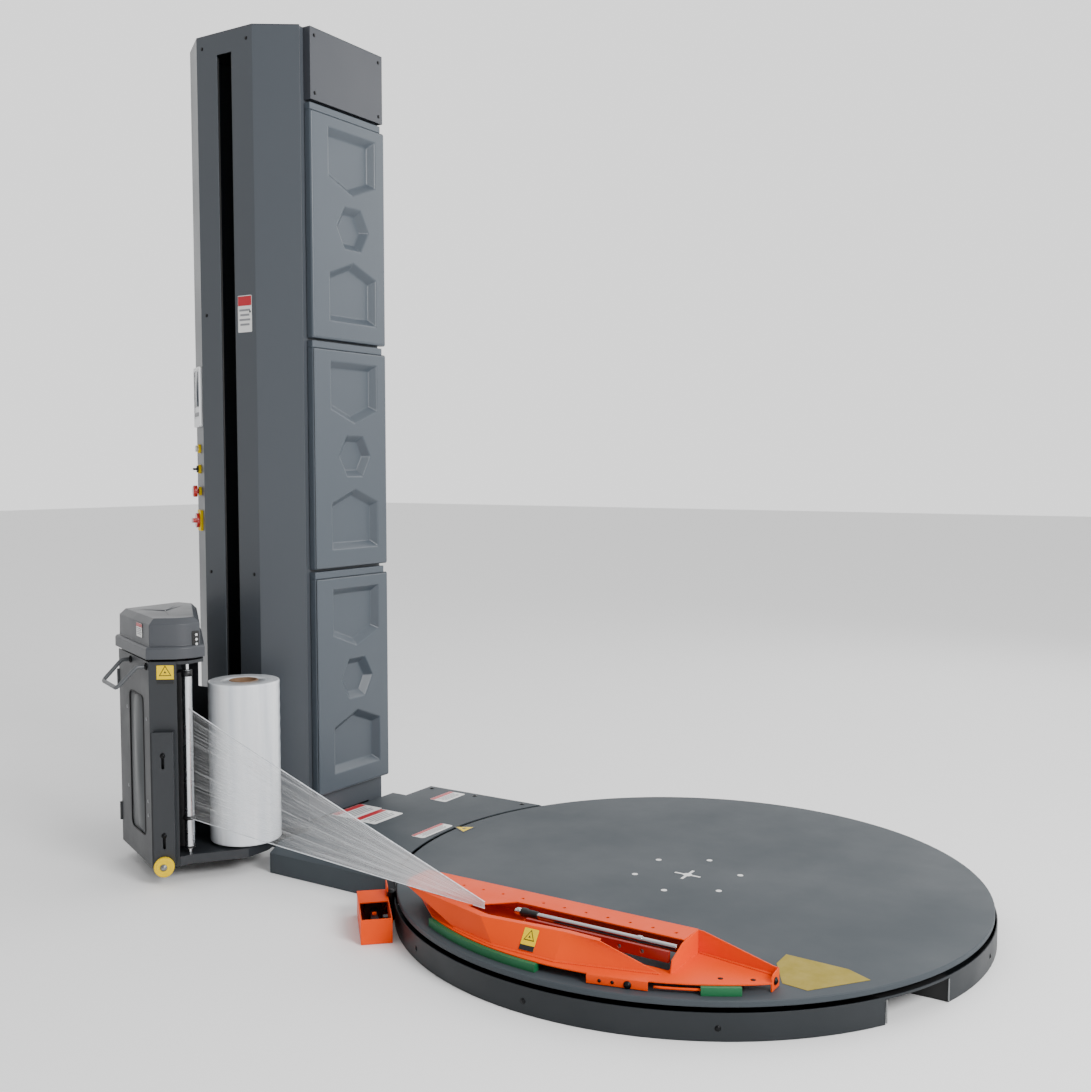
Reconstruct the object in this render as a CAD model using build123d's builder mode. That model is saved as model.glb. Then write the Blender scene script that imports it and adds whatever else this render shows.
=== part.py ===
from build123d import *
from math import asin, atan2, cos, degrees, hypot, radians, sin, sqrt
import os

# Turntable pallet wrapper, in millimetres.
# The origin is on the floor under the turntable's centre. +Z is up, +X runs from the mast
# towards the turntable's free side, and -Y is the side where the operator stands.

os.makedirs("parts", exist_ok=True)

# ---------------------------------------------------------------- driving dimensions
running_gap = 0.05        # radial clearance of a shaft in its bore
sheet = 3.0               # thickness of the bent sheet covers

# turntable and base
table_radius = 825.0
table_top = 88.0
table_plate = 8.0
table_rim = 14.0          # height of the turntable's turned-down rim
rim_width = 8.0
rim_gap = 10.0            # open gap between the rim and the skirt under it
skirt_margin = 6.5        # how far the skirt stands out past the turntable
frame_plate = 6.0
fork_spread = 696.0       # distance between the centres of the two fork pockets
fork_width = 196.0
fork_height = 58.0
fork_wall = 4.0
fork_end_gap = 237.1      # from a pocket's inner end to the skirt behind it
roller_inset = 105.0      # from the turntable's edge in to the support rollers
roller_channel_gap = 59.1 # from a fork channel's side to the rollers' centres
roller_radius = 22.0
roller_width = 24.0
axle_radius = 6.0
rolling_gap = 0.3
hub_radius = 40.0
hub_foot = 20.0
table_sprocket_radius = 130.0
drive_sprocket_radius = 38.0
sprocket_thickness = 8.0
chain_thickness = 6.0
chain_gap = 0.5

# bridge between the mast and the turntable
bridge_half_width = 430.0
bridge_side_height = 62.0
bridge_bevel = 45.0
bridge_sheet = 4.0
bridge_gap = 13.0         # from the turntable's edge to the bridge's hollow end
bridge_overhang = 62.0    # from the mast's side panels to the bridge's square end
neck_gap = 6.0            # from the plinth's side to the fork channel beside it

# mast
mast_height = 2650.0
mast_offset = 720.0       # from the turntable's edge to the mast's centre
mast_half_width = 270.0   # to the outer face of the moulded side panels
panel_depth = 30.0
mast_front_y = -250.0
mast_back_y = 250.0
front_half_width = 125.5
front_corner_half_width = 250.0
front_corner_y = -166.0
back_half_width = 200.0
back_corner_y = 215.0
plinth_height = 60.0
slot_half_width = 33.5
slot_top_margin = 70.0    # from the slot's end to the mast's top
cover_joint = 3.0

# moulded side panels, three on each side
panels_per_side = 3
head_height = 227.0       # plain sheet above the moulded panels
panel_bottom = 158.0
panel_seam = 8.0
panel_front_y = -140.0
panel_back_y = 225.0
panel_ledge = 22.0
panel_ledge_setback = 18.0
panel_skin = 4.0
recess_depth = 22.0
recess_centre_y = 57.0
recess_half_width = 117.0
recess_margin = 61.5      # from a recess's far side to the panel's end
recess_shoulder = 155.0
recess_tip = 110.0
hexagon_radius = 80.0

# lift
column_half_width = 93.5
column_half_depth = 60.0
column_wall = 5.0
column_mouth = 63.0       # half the open mouth between the column's lips
pulley_radius = 25.0
pulley_width = 30.0
pulley_shaft = 10.0
belt_thickness = 3.0
lower_pulley_z = 130.0
pulley_top_margin = 120.0 # from the upper pulley's centre to the mast's top
arm_half_width = 25.0
arm_bottom = 150.0
arm_top = 500.0
trolley_half_width = 60.0
trolley_bottom = 170.0
trolley_top = 640.0
shoe_height = 60.0
shoe_gap = 0.3

# gearmotors and the electrical box inside the mast
gearbox_width = 90.0
gearbox_length = 160.0
gearbox_height = 80.0
gearbox_gap = 12.0        # from the drive sprocket to the gearbox over it
table_motor_radius = 42.0
table_motor_length = 170.0
lift_gearbox = 110.0
lift_gearbox_depth = 60.0
lift_motor_radius = 45.0
lift_motor_length = 170.0
shaft_bore_depth = 50.0
electrical_width = 320.0
electrical_depth = 120.0
electrical_height = 600.0
electrical_bottom = 900.0

# carriage, given at its lowest position; its plan is measured from the mast's centre and
# from the carriage's own back
carriage_bottom = 50.0
carriage_head = 94.0      # from the film's top edge to the casing's top
carriage_gap = 50.0       # from the mast's front to the carriage's back
door_hinge_offset = (-200.0, -253.0)
door_corner_offset = (109.0, -393.0)
door_end_offset = (173.0, -344.0)
casing_side_offset = 75.0
upper_back_width = 85.0   # of the casing's back above the arm, from the hinge side
shoulder_gap = 20.0       # from the arm's top to the step in the casing's back
idler_nose = 34.0         # how far the hood reaches past the idler
tray_top = 78.0
tray_plate = 4.0
top_plate = 10.0
reel_offset = 203.0
reel_overlap = 7.0        # how far the film roll reaches past the carriage's back
film_radius = 110.0
film_width = 500.0
core_bore = 38.0
core_wall = 7.0
reel_flange = 6.0
idler_offset = (161.0, -293.0)
idler_radius = 15.0
stretch_radius = 35.0
stretch_offsets = ((75.0, -268.0), (-15.0, -230.0))
stretch_shaft = 12.0
stretch_gearbox = (150.0, 80.0)
stretch_gearbox_height = 40.0
stretch_motor_radius = 35.0
stretch_motor_height = 50.0
hood_gap = 8.0            # open joint between the casing's top and the hood
hood_rim = 36.0
hood_height = 120.0
hood_overhang = 8.0
hood_wall = 3.0
door_clear = 4.0
hinge_pin = 3.0
hinge_barrel = 6.0
hinge_height = 50.0
window_low = 130.0
window_head = 112.0       # from the window's top to the casing's top
window_width = 150.0
window_share = 0.59       # the window's middle, as a share of the way along the door
handle_radius = 6.0
guard_width = 62.0
guard_head = 208.0        # from the toe guard's top to the casing's top
guard_bottom = 62.0
guard_depth = 20.0
toe_wheel_radius = 29.0
toe_wheel_width = 14.0
toe_wheel_z = 60.0

# controls on the mast's left front face
e_stop_z = 1168.0
push_button_z = 1312.0
selector_z = 1243.0
isolator_z = 1069.0
screen_z = 1485.0
screen_size = (124.0, 200.0)
screen_depth = 10.0
screen_recess = 2.0
screen_border = 10.0      # of the screen's frame at its sides
stem_radius = 8.0
collar_radius = 15.0
collar_height = 8.0

# film clamp on the turntable
clamp_floor = 110.0       # top of the clamp's floor plate
clamp_sheet = 3.0
clamp_top = 165.0
clamp_reach = 252.0       # from the clamp's outer edge back to its upright wall
clamp_flange = 77.0
clamp_left_x = -516.0
clamp_right_x = 283.0
clamp_edge_inset = 35.0   # from the turntable's edge in to the clamp's outer edge
flange_hole_radius = 4.5
flange_hole_count = 11
flange_hole_pitch = 61.0
arm_pivot_x = -120.0
arm_pivot_z = 130.0
arm_setback = 122.0       # from the clamp's upright wall out to its arm
arm_thickness = 8.0
arm_eye = 13.0            # radius of the arm's rounded end
arm_web = 26.0            # the arm's height
arm_hole = 5.0
arm_hole_pitch = 60.0
rod_radius = 7.0
rod_length = 390.0
rod_collar = 9.0
strip_width = 20.0        # of the green bumper strips
strip_margin = 12.0       # how far the strips stand out past the clamp's edge
strip_turns = ((-119.0, -90.5), (-62.5, -56.0))

# film clamp actuator beside the base
actuator_angle = -136.6
actuator_gap = 56.5       # from the skirt to the actuator's centre line
actuator_length = 227.0
actuator_width = 83.0
actuator_height = 66.0
actuator_tab = (60.0, 26.0)  # the raised tab on the box's far wall
lever_length = 90.0
lever_width = 20.0
lever_thickness = 14.0

# ---------------------------------------------------------------- sizes that follow
skirt_radius = table_radius + skirt_margin
skirt_height = table_top - table_rim - rim_gap
table_underside = table_top - table_plate
fork_y = fork_spread / 2
channel_inner_y = fork_y - fork_width / 2 - fork_wall
channel_outer_y = fork_y + fork_width / 2 + fork_wall
channel_end_x = fork_end_gap - sqrt((skirt_radius - sheet) ** 2 - channel_outer_y ** 2)
roller_circle = table_radius - roller_inset
roller_turn = degrees(asin((channel_outer_y + roller_channel_gap) / roller_circle))
roller_turns = (roller_turn, 180 - roller_turn, 180 + roller_turn, 360 - roller_turn)
mast_x = -table_radius - mast_offset
bridge_end_x = mast_x + mast_half_width + bridge_overhang
body_half_width = mast_half_width - panel_depth
cover_bottom = plinth_height + 2
cover_top = mast_height - sheet
panel_width = panel_back_y - panel_front_y
panel_pitch = (mast_height - head_height - panel_bottom) / panels_per_side
panel_height = panel_pitch - panel_seam
recess_outer = panel_height / 2 - recess_margin
slot_top = mast_height - slot_top_margin
upper_pulley_z = mast_height - pulley_top_margin
sprocket_bottom = table_underside - sprocket_thickness - 6
drive_x = mast_x + (column_half_width + body_half_width) / 2
roller_z = table_underside - roller_radius - rolling_gap
carriage_back_y = mast_front_y - carriage_gap
carriage_top = tray_top + film_width + carriage_head
casing_side_x = mast_x + casing_side_offset
upper_back_x = mast_x + door_hinge_offset[0] + upper_back_width
shoulder_z = arm_top + shoulder_gap
neck_half_width = (fork_spread - fork_width) / 2 - fork_wall - neck_gap
reel_x = mast_x + reel_offset
reel_y = carriage_back_y + reel_overlap - film_radius
hood_bottom = carriage_top + hood_gap
hood_top = hood_bottom + hood_height
window_high = carriage_top - window_head
guard_top = carriage_top - guard_head
clamp_edge_radius = table_radius - clamp_edge_inset
clamp_back_y = clamp_reach - clamp_edge_radius
arm_y = clamp_back_y - arm_setback
actuator_radius = skirt_radius + actuator_gap


def crossing(p, d, q, e):
    """The point where the line through p along d meets the line through q along e."""
    scale = ((q[0] - p[0]) * e[1] - (q[1] - p[1]) * e[0]) / (d[0] * e[1] - d[1] * e[0])
    return (p[0] + d[0] * scale, p[1] + d[1] * scale)


def shifted_sides(points, distance, closed):
    """Each side of a path moved to its left by a distance, as a start and a direction."""
    ends = list(zip(points, points[1:] + points[:1])) if closed else list(zip(points, points[1:]))
    sides = []
    for (x1, y1), (x2, y2) in ends:
        length = hypot(x2 - x1, y2 - y1)
        along = ((x2 - x1) / length, (y2 - y1) / length)
        sides.append(((x1 - along[1] * distance, y1 + along[0] * distance), along, length))
    return sides


def inset(points, distance):
    """A closed anticlockwise outline drawn in by a distance on every side."""
    sides = shifted_sides(points, distance, True)
    return [crossing(a[0], a[1], b[0], b[1]) for a, b in zip(sides[-1:] + sides[:-1], sides)]


def sheet_outline(points, thickness):
    """The closed outline of a sheet bent along a path, with its thickness on the path's left."""
    sides = shifted_sides(points, thickness, False)
    start = sides[0][0]
    end = tuple(sides[-1][0][i] + sides[-1][1][i] * sides[-1][2] for i in (0, 1))
    bends = [crossing(a[0], a[1], b[0], b[1]) for a, b in zip(sides, sides[1:])]
    return points + [end] + bends[::-1] + [start]


def carriage_point(offset):
    """A point of the carriage's plan, from the mast's centre and the carriage's back."""
    return (mast_x + offset[0], carriage_back_y + offset[1])


def between(a, b, share):
    """The point a share of the way from a to b."""
    return tuple(p + (q - p) * share for p, q in zip(a, b))


door_hinge = carriage_point(door_hinge_offset)
door_corner = carriage_point(door_corner_offset)
door_end = carriage_point(door_end_offset)
idler_x, idler_y = carriage_point(idler_offset)
stretch_centres = [carriage_point(offset) for offset in stretch_offsets]


# ---------------------------------------------------------------- base frame and skirt
with BuildPart() as base_frame:
    with BuildSketch(Plane.XY):
        Circle(skirt_radius - sheet)
        for side in (1, -1):
            with Locations((0, side * fork_y)):
                Rectangle(4 * table_radius, 2 * (channel_outer_y - fork_y), mode=Mode.SUBTRACT)
    with BuildSketch(Plane.XY):
        with Locations((mast_x - front_corner_half_width, 0)):
            Rectangle(-mast_x, 2 * neck_half_width, align=(Align.MIN, Align.CENTER))
    extrude(amount=frame_plate)
    # the hollow plinth that the mast stands on
    plinth_left = mast_x - front_corner_half_width
    plinth_length = bridge_end_x - plinth_left
    with BuildSketch(Plane.XY.offset(frame_plate)):
        with Locations((plinth_left, 0)):
            Rectangle(plinth_length, 2 * neck_half_width, align=(Align.MIN, Align.CENTER))
    extrude(amount=plinth_height - frame_plate)
    with BuildSketch(Plane.XY.offset(frame_plate)):
        with Locations((plinth_left + frame_plate, 0)):
            Rectangle(plinth_length - 2 * frame_plate, 2 * (neck_half_width - frame_plate),
                      align=(Align.MIN, Align.CENTER))
    extrude(amount=plinth_height - 2 * frame_plate, mode=Mode.SUBTRACT)
    with BuildSketch(Plane.XY.offset(plinth_height - frame_plate)):
        with Locations((mast_x, 0)):
            Rectangle(2 * column_half_width, 2 * column_half_depth)
    extrude(amount=frame_plate, mode=Mode.SUBTRACT)
    # the bearing housing at the turntable's centre
    with BuildSketch(Plane.XY.offset(frame_plate)):
        Circle(hub_radius + 25)
    extrude(amount=sprocket_bottom - frame_plate - 4)
    with BuildSketch(Plane.XY.offset(hub_foot)):
        Circle(hub_radius + running_gap)
    extrude(amount=table_top, mode=Mode.SUBTRACT)
base_frame.part.label = "base_frame"
export_step(base_frame.part, "parts/base_frame.step")

with BuildPart() as fork_channels:
    for side in (1, -1):
        with BuildSketch(Plane.YZ.offset(channel_end_x)):
            with Locations((side * fork_y, 0)):
                Rectangle(fork_width + 2 * fork_wall, fork_height + fork_wall,
                          align=(Align.CENTER, Align.MIN))
                Rectangle(fork_width, fork_height, align=(Align.CENTER, Align.MIN),
                          mode=Mode.SUBTRACT)
        extrude(amount=2 * table_radius)
        with BuildSketch(Plane.YZ.offset(channel_end_x)):
            with Locations((side * fork_y, 0)):
                Rectangle(fork_width, fork_height, align=(Align.CENTER, Align.MIN))
        extrude(amount=fork_wall)
    with BuildSketch(Plane.XY):
        Circle(skirt_radius - sheet)
    extrude(amount=table_top, mode=Mode.INTERSECT)
fork_channels.part.label = "fork_channels"
export_step(fork_channels.part, "parts/fork_channels.step")

with BuildPart() as turntable_skirt:
    with BuildSketch(Plane.XY):
        Circle(skirt_radius)
        Circle(skirt_radius - sheet, mode=Mode.SUBTRACT)
        with Locations((-skirt_radius, 0)):
            Rectangle(skirt_radius, 2 * neck_half_width + 2, mode=Mode.SUBTRACT)
    extrude(amount=skirt_height)
    with BuildSketch(Plane.XY):
        for side in (1, -1):
            with Locations((skirt_radius, side * fork_y)):
                Rectangle(skirt_radius, fork_width)
    extrude(amount=fork_height, mode=Mode.SUBTRACT)
turntable_skirt.part.label = "turntable_skirt"
export_step(turntable_skirt.part, "parts/turntable_skirt.step")

with BuildPart() as bridge_cover:
    bridge_side = [(bridge_half_width, 0), (bridge_half_width, bridge_side_height),
                   (bridge_half_width - bridge_bevel, table_top)]
    bridge_side += [(-y, z) for y, z in bridge_side[::-1]]
    with BuildSketch(Plane.YZ.offset(bridge_end_x)):
        with BuildLine():
            Polyline(*bridge_side, close=True)
        make_face()
    extrude(amount=-bridge_end_x)
    with BuildSketch(Plane.YZ.offset(bridge_end_x + bridge_sheet)):
        with BuildLine():
            Polyline(*sheet_outline(bridge_side, bridge_sheet)[len(bridge_side):], close=True)
        make_face()
    extrude(amount=-bridge_end_x, mode=Mode.SUBTRACT)
    with BuildSketch(Plane.XY):
        Circle(table_radius + bridge_gap)
    extrude(amount=table_top, mode=Mode.SUBTRACT)
    # the way through for the frame's neck, and the tongue that covers it up to the mast
    with BuildSketch(Plane.YZ.offset(bridge_end_x)):
        Rectangle(2 * neck_half_width + 2, table_top - bridge_sheet, align=(Align.CENTER, Align.MIN))
    extrude(amount=bridge_sheet, mode=Mode.SUBTRACT)
    with BuildSketch(Plane.XY.offset(table_top - bridge_sheet)):
        with Locations((bridge_end_x, 0)):
            Rectangle(bridge_overhang - 2, 2 * neck_half_width, align=(Align.MAX, Align.CENTER))
    extrude(amount=bridge_sheet)
bridge_cover.part.label = "bridge_cover"
export_step(bridge_cover.part, "parts/bridge_cover.step")

# ---------------------------------------------------------------- table drive and supports
with BuildPart() as drive_chain:
    chain_centre_z = sprocket_bottom + sprocket_thickness / 2
    with BuildSketch(Plane.XY.offset(chain_centre_z - chain_thickness / 2)):
        for spread, mode in ((chain_thickness + chain_gap, Mode.ADD), (chain_gap, Mode.SUBTRACT)):
            with BuildSketch(mode=Mode.PRIVATE) as loop:
                Circle(table_sprocket_radius + spread)
                with Locations((drive_x, 0)):
                    Circle(drive_sprocket_radius + spread)
                make_hull()
            add(loop.sketch, mode=mode)
    extrude(amount=chain_thickness)
drive_chain.part.label = "drive_chain"
export_step(drive_chain.part, "parts/drive_chain.step")

with BuildPart() as drive_sprocket:
    with BuildSketch(Plane.XY.offset(sprocket_bottom)):
        with Locations((drive_x, 0)):
            Circle(drive_sprocket_radius)
    extrude(amount=sprocket_thickness)
    with BuildSketch(Plane.XY.offset(sprocket_bottom)):
        with Locations((drive_x, 0)):
            Circle(axle_radius * 2)
    extrude(amount=60)
drive_sprocket.part.label = "drive_sprocket"
export_step(drive_sprocket.part, "parts/drive_sprocket.step")

with BuildPart() as table_gearmotor:
    gearbox_z = sprocket_bottom + sprocket_thickness + gearbox_gap
    with BuildSketch(Plane.XY.offset(gearbox_z)):
        with Locations((drive_x, 0)):
            RectangleRounded(gearbox_width, gearbox_length, 8)
    extrude(amount=gearbox_height)
    with BuildSketch(Plane.XY.offset(gearbox_z + gearbox_height)):
        with Locations((drive_x, 0)):
            Circle(table_motor_radius)
    extrude(amount=table_motor_length)
    with BuildSketch(Plane.XY.offset(gearbox_z)):
        with Locations((drive_x, 0)):
            Circle(axle_radius * 2 + running_gap)
    extrude(amount=shaft_bore_depth, mode=Mode.SUBTRACT)
    # two feet that carry the gearbox on the plinth, clear of the chain
    with BuildSketch(Plane.XY.offset(plinth_height)):
        for side in (1, -1):
            with Locations((drive_x, side * 70)):
                Rectangle(80, 16)
    extrude(until=Until.NEXT)
table_gearmotor.part.label = "table_gearmotor"
export_step(table_gearmotor.part, "parts/table_gearmotor.step")

with BuildPart() as table_hub:
    with BuildSketch(Plane.XY.offset(hub_foot + 0.5)):
        Circle(hub_radius)
    extrude(amount=table_underside - hub_foot - 0.5)
    with BuildSketch(Plane.XY.offset(sprocket_bottom)):
        Circle(table_sprocket_radius)
    extrude(amount=sprocket_thickness)
table_hub.part.label = "table_hub"
export_step(table_hub.part, "parts/table_hub.step")

with BuildPart() as roller_brackets:
    ear = 4.0
    for turn in roller_turns:
        seat = Plane(origin=(roller_circle * cos(radians(turn)), roller_circle * sin(radians(turn)),
                             frame_plate), x_dir=(cos(radians(turn)), sin(radians(turn)), 0))
        half = roller_width / 2 + 1
        with BuildSketch(seat):
            Rectangle(2 * (half + ear), 2 * roller_radius)
        extrude(amount=ear)
        for side in (1, -1):
            with BuildSketch(seat.offset(ear)):
                with Locations((side * (half + ear / 2), 0)):
                    Rectangle(ear, 1.4 * roller_radius)
            extrude(amount=roller_z - frame_plate - ear + axle_radius + 4)
        with BuildSketch(Plane(origin=seat.from_local_coords((-half - ear, 0, roller_z - frame_plate)),
                               x_dir=(0, 0, 1), z_dir=seat.x_dir)):
            Circle(axle_radius)
        extrude(amount=2 * (half + ear))
roller_brackets.part.label = "roller_brackets"
export_step(roller_brackets.part, "parts/roller_brackets.step")

for number, turn in enumerate(roller_turns, 1):
    outward = (cos(radians(turn)), sin(radians(turn)), 0)
    near_end = roller_circle - roller_width / 2
    with BuildPart() as support_roller:
        with BuildSketch(Plane(origin=(near_end * outward[0], near_end * outward[1], roller_z),
                               x_dir=(0, 0, 1), z_dir=outward)):
            Circle(roller_radius)
            Circle(axle_radius + running_gap, mode=Mode.SUBTRACT)
        extrude(amount=roller_width)
    support_roller.part.label = f"support_roller_{number}"
    export_step(support_roller.part, f"parts/support_roller_{number}.step")

# ---------------------------------------------------------------- turntable
with BuildPart() as turntable_disc:
    with BuildSketch(Plane.XY.offset(table_underside)):
        Circle(table_radius)
    extrude(amount=table_plate)
    with BuildSketch(Plane.XY.offset(table_top - table_rim)):
        Circle(table_radius)
        Circle(table_radius - rim_width, mode=Mode.SUBTRACT)
    extrude(amount=table_rim - table_plate)
    chamfer(turntable_disc.faces().sort_by(Axis.Z)[-1].edges(), 2)
turntable_disc.part.label = "turntable_disc"
export_step(turntable_disc.part, "parts/turntable_disc.step")

# ---------------------------------------------------------------- mast
front_path = [(mast_x + front_corner_half_width, front_corner_y),
              (mast_x + front_half_width, mast_front_y),
              (mast_x - front_half_width, mast_front_y),
              (mast_x - front_corner_half_width, front_corner_y)]
with BuildPart() as mast_front_cover:
    with BuildSketch(Plane.XY.offset(cover_bottom)):
        with BuildLine():
            Polyline(*sheet_outline(front_path, -sheet), close=True)
        make_face()
    extrude(amount=cover_top - cover_bottom)
    with BuildSketch(Plane.XY.offset(cover_bottom)):
        with Locations((mast_x, mast_front_y)):
            Rectangle(2 * slot_half_width, 4 * sheet)
    extrude(amount=slot_top - cover_bottom, mode=Mode.SUBTRACT)
mast_front_cover.part.label = "mast_front_cover"
export_step(mast_front_cover.part, "parts/mast_front_cover.step")

rear_front_y = front_corner_y + cover_joint
rear_path = [(mast_x + body_half_width, rear_front_y), (mast_x + body_half_width, back_corner_y),
             (mast_x + back_half_width, mast_back_y), (mast_x - back_half_width, mast_back_y),
             (mast_x - body_half_width, back_corner_y), (mast_x - body_half_width, rear_front_y)]
with BuildPart() as mast_rear_cover:
    with BuildSketch(Plane.XY.offset(cover_bottom)):
        with BuildLine():
            Polyline(*sheet_outline(rear_path, sheet), close=True)
        make_face()
    extrude(amount=cover_top - cover_bottom)
    # the chain leaves the mast low on the turntable's side
    with BuildSketch(Plane.XY.offset(cover_bottom)):
        with Locations((mast_x + body_half_width, 0)):
            Rectangle(4 * sheet, 2 * (table_sprocket_radius + chain_thickness + 10))
    extrude(amount=table_underside - cover_bottom, mode=Mode.SUBTRACT)
mast_rear_cover.part.label = "mast_rear_cover"
export_step(mast_rear_cover.part, "parts/mast_rear_cover.step")

panels_top = panel_bottom + panels_per_side * panel_pitch
with BuildPart() as mast_top_cap:
    rim = front_path[::-1] + [(mast_x + body_half_width, front_corner_y)] + rear_path[1:5]
    rim += [(mast_x - body_half_width, front_corner_y)]
    with BuildSketch(Plane.XY.offset(cover_top)):
        with BuildLine():
            Polyline(*rim, close=True)
        make_face()
        for side in (1, -1):
            with Locations((mast_x + side * body_half_width, (panel_front_y + back_corner_y) / 2)):
                Rectangle(2 * panel_depth, back_corner_y - panel_front_y)
    extrude(amount=sheet)
    for side in (1, -1):
        centre = (mast_x + side * (body_half_width + panel_depth / 2),
                  (panel_front_y + back_corner_y) / 2)
        with BuildSketch(Plane.XY.offset(panels_top)):
            with Locations(centre):
                Rectangle(panel_depth - 0.5, back_corner_y - panel_front_y)
                Rectangle(panel_depth - 0.5 - 2 * sheet, back_corner_y - panel_front_y - 2 * sheet,
                          mode=Mode.SUBTRACT)
        extrude(amount=cover_top - panels_top)
mast_top_cap.part.label = "mast_top_cap"
export_step(mast_top_cap.part, "parts/mast_top_cap.step")


def recess_loop(direction, grow=0.0):
    """A five-sided recess outline, its point towards the panel's middle, in the panel's plane."""
    loop = [(recess_centre_y - recess_half_width, direction * recess_outer),
            (recess_centre_y - recess_half_width, direction * recess_shoulder),
            (recess_centre_y, direction * recess_tip),
            (recess_centre_y + recess_half_width, direction * recess_shoulder),
            (recess_centre_y + recess_half_width, direction * recess_outer)]
    return inset(loop if direction > 0 else loop[::-1], -grow)


def hexagon_loop(grow=0.0):
    """The hexagon between the two recesses, with a corner at each side."""
    corners = [(recess_centre_y + hexagon_radius * cos(radians(turn)),
                hexagon_radius * sin(radians(turn))) for turn in range(0, 360, 60)]
    return inset(corners, -grow)


for side, side_name in ((1, "right"), (-1, "left")):
    for level in range(panels_per_side):
        middle_z = panel_bottom + level * panel_pitch + panel_height / 2
        face = Plane(origin=(mast_x + side * mast_half_width, 0, middle_z),
                     x_dir=(0, side, 0), z_dir=(side, 0, 0))
        back = face.offset(-panel_depth + 0.5)
        main_height = panel_height - panel_ledge
        panel_middle = side * (panel_front_y + panel_back_y) / 2
        ledge_width = panel_width - panel_ledge_setback
        with BuildPart() as side_panel:
            with BuildSketch(back):
                with Locations((panel_middle, -panel_ledge / 2)):
                    Rectangle(panel_width, main_height)
            extrude(amount=panel_depth - 0.5)
            chamfer(side_panel.faces().sort_by(Axis.X)[-1 if side > 0 else 0].edges(), 5)
            with BuildSketch(back):
                with Locations((side * (panel_front_y + ledge_width / 2), main_height / 2)):
                    Rectangle(ledge_width, panel_ledge)
            extrude(amount=panel_depth - 4)
            # the recesses, with sides that slope in at 45 degrees
            for shape in (lambda grow: recess_loop(1, grow), lambda grow: recess_loop(-1, grow),
                          hexagon_loop):
                for depth, grow in ((0.0, 0.0), (-recess_depth, -recess_depth)):
                    outline = [(side * y, z) for y, z in shape(grow)]
                    with BuildSketch(face.offset(depth)):
                        with BuildLine():
                            Polyline(*outline, close=True)
                        make_face()
                loft(mode=Mode.SUBTRACT)
            # the hollow behind the face, which leaves the recesses' walls standing
            hollow = panel_depth - panel_skin - 0.5
            with BuildSketch(back):
                with Locations((panel_middle, -panel_ledge / 2)):
                    Rectangle(panel_width - 4 * panel_skin, main_height - 4 * panel_skin)
                for shape in (recess_loop(1, 2 * panel_skin), recess_loop(-1, 2 * panel_skin),
                              hexagon_loop(2 * panel_skin)):
                    with BuildSketch(mode=Mode.PRIVATE) as kept:
                        with BuildLine():
                            Polyline(*[(side * y, z) for y, z in shape], close=True)
                        make_face()
                    add(kept.sketch, mode=Mode.SUBTRACT)
            extrude(amount=hollow, mode=Mode.SUBTRACT)
        side_panel.part.label = f"side_panel_{side_name}_{level + 1}"
        export_step(side_panel.part, f"parts/side_panel_{side_name}_{level + 1}.step")

# ---------------------------------------------------------------- lift
with BuildPart() as mast_column:
    column_path = [(mast_x + column_mouth, -column_half_depth),
                   (mast_x + column_half_width, -column_half_depth),
                   (mast_x + column_half_width, column_half_depth),
                   (mast_x - column_half_width, column_half_depth),
                   (mast_x - column_half_width, -column_half_depth),
                   (mast_x - column_mouth, -column_half_depth)]
    with BuildSketch(Plane.XY.offset(frame_plate)):
        with BuildLine():
            Polyline(*sheet_outline(column_path, column_wall), close=True)
        make_face()
    extrude(amount=cover_top - 20 - frame_plate)
    for height in (lower_pulley_z, upper_pulley_z):
        with BuildSketch(Plane.YZ.offset(mast_x - 2 * column_half_width)):
            with Locations((0, height)):
                Circle(pulley_shaft + running_gap)
        extrude(amount=4 * column_half_width, mode=Mode.SUBTRACT)
mast_column.part.label = "mast_column"
export_step(mast_column.part, "parts/mast_column.step")

for pulley_name, height, reach in (("lower_pulley", lower_pulley_z, 0),
                                   ("upper_pulley", upper_pulley_z, 40)):
    with BuildPart() as pulley:
        with BuildSketch(Plane.YZ.offset(mast_x - pulley_width / 2)):
            with Locations((0, height)):
                Circle(pulley_radius)
        extrude(amount=pulley_width)
        with BuildSketch(Plane.YZ.offset(mast_x - column_half_width)):
            with Locations((0, height)):
                Circle(pulley_shaft)
        extrude(amount=2 * column_half_width + reach)
    pulley.part.label = pulley_name
    export_step(pulley.part, f"parts/{pulley_name}.step")

with BuildPart() as lift_gearmotor:
    with BuildSketch(Plane.YZ.offset(mast_x + column_half_width)):
        with Locations((0, upper_pulley_z)):
            RectangleRounded(lift_gearbox, lift_gearbox, 10)
            Circle(pulley_shaft + running_gap, mode=Mode.SUBTRACT)
    extrude(amount=lift_gearbox_depth)
    with BuildSketch(Plane.XY.offset(upper_pulley_z - lift_gearbox / 2)):
        with Locations((mast_x + column_half_width + lift_gearbox_depth, 0)):
            Circle(lift_motor_radius)
    extrude(amount=-lift_motor_length)
    with BuildSketch(Plane.YZ.offset(mast_x + column_half_width)):
        with Locations((0, upper_pulley_z)):
            Circle(pulley_shaft + running_gap)
    extrude(amount=shaft_bore_depth, mode=Mode.SUBTRACT)
lift_gearmotor.part.label = "lift_gearmotor"
export_step(lift_gearmotor.part, "parts/lift_gearmotor.step")

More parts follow.
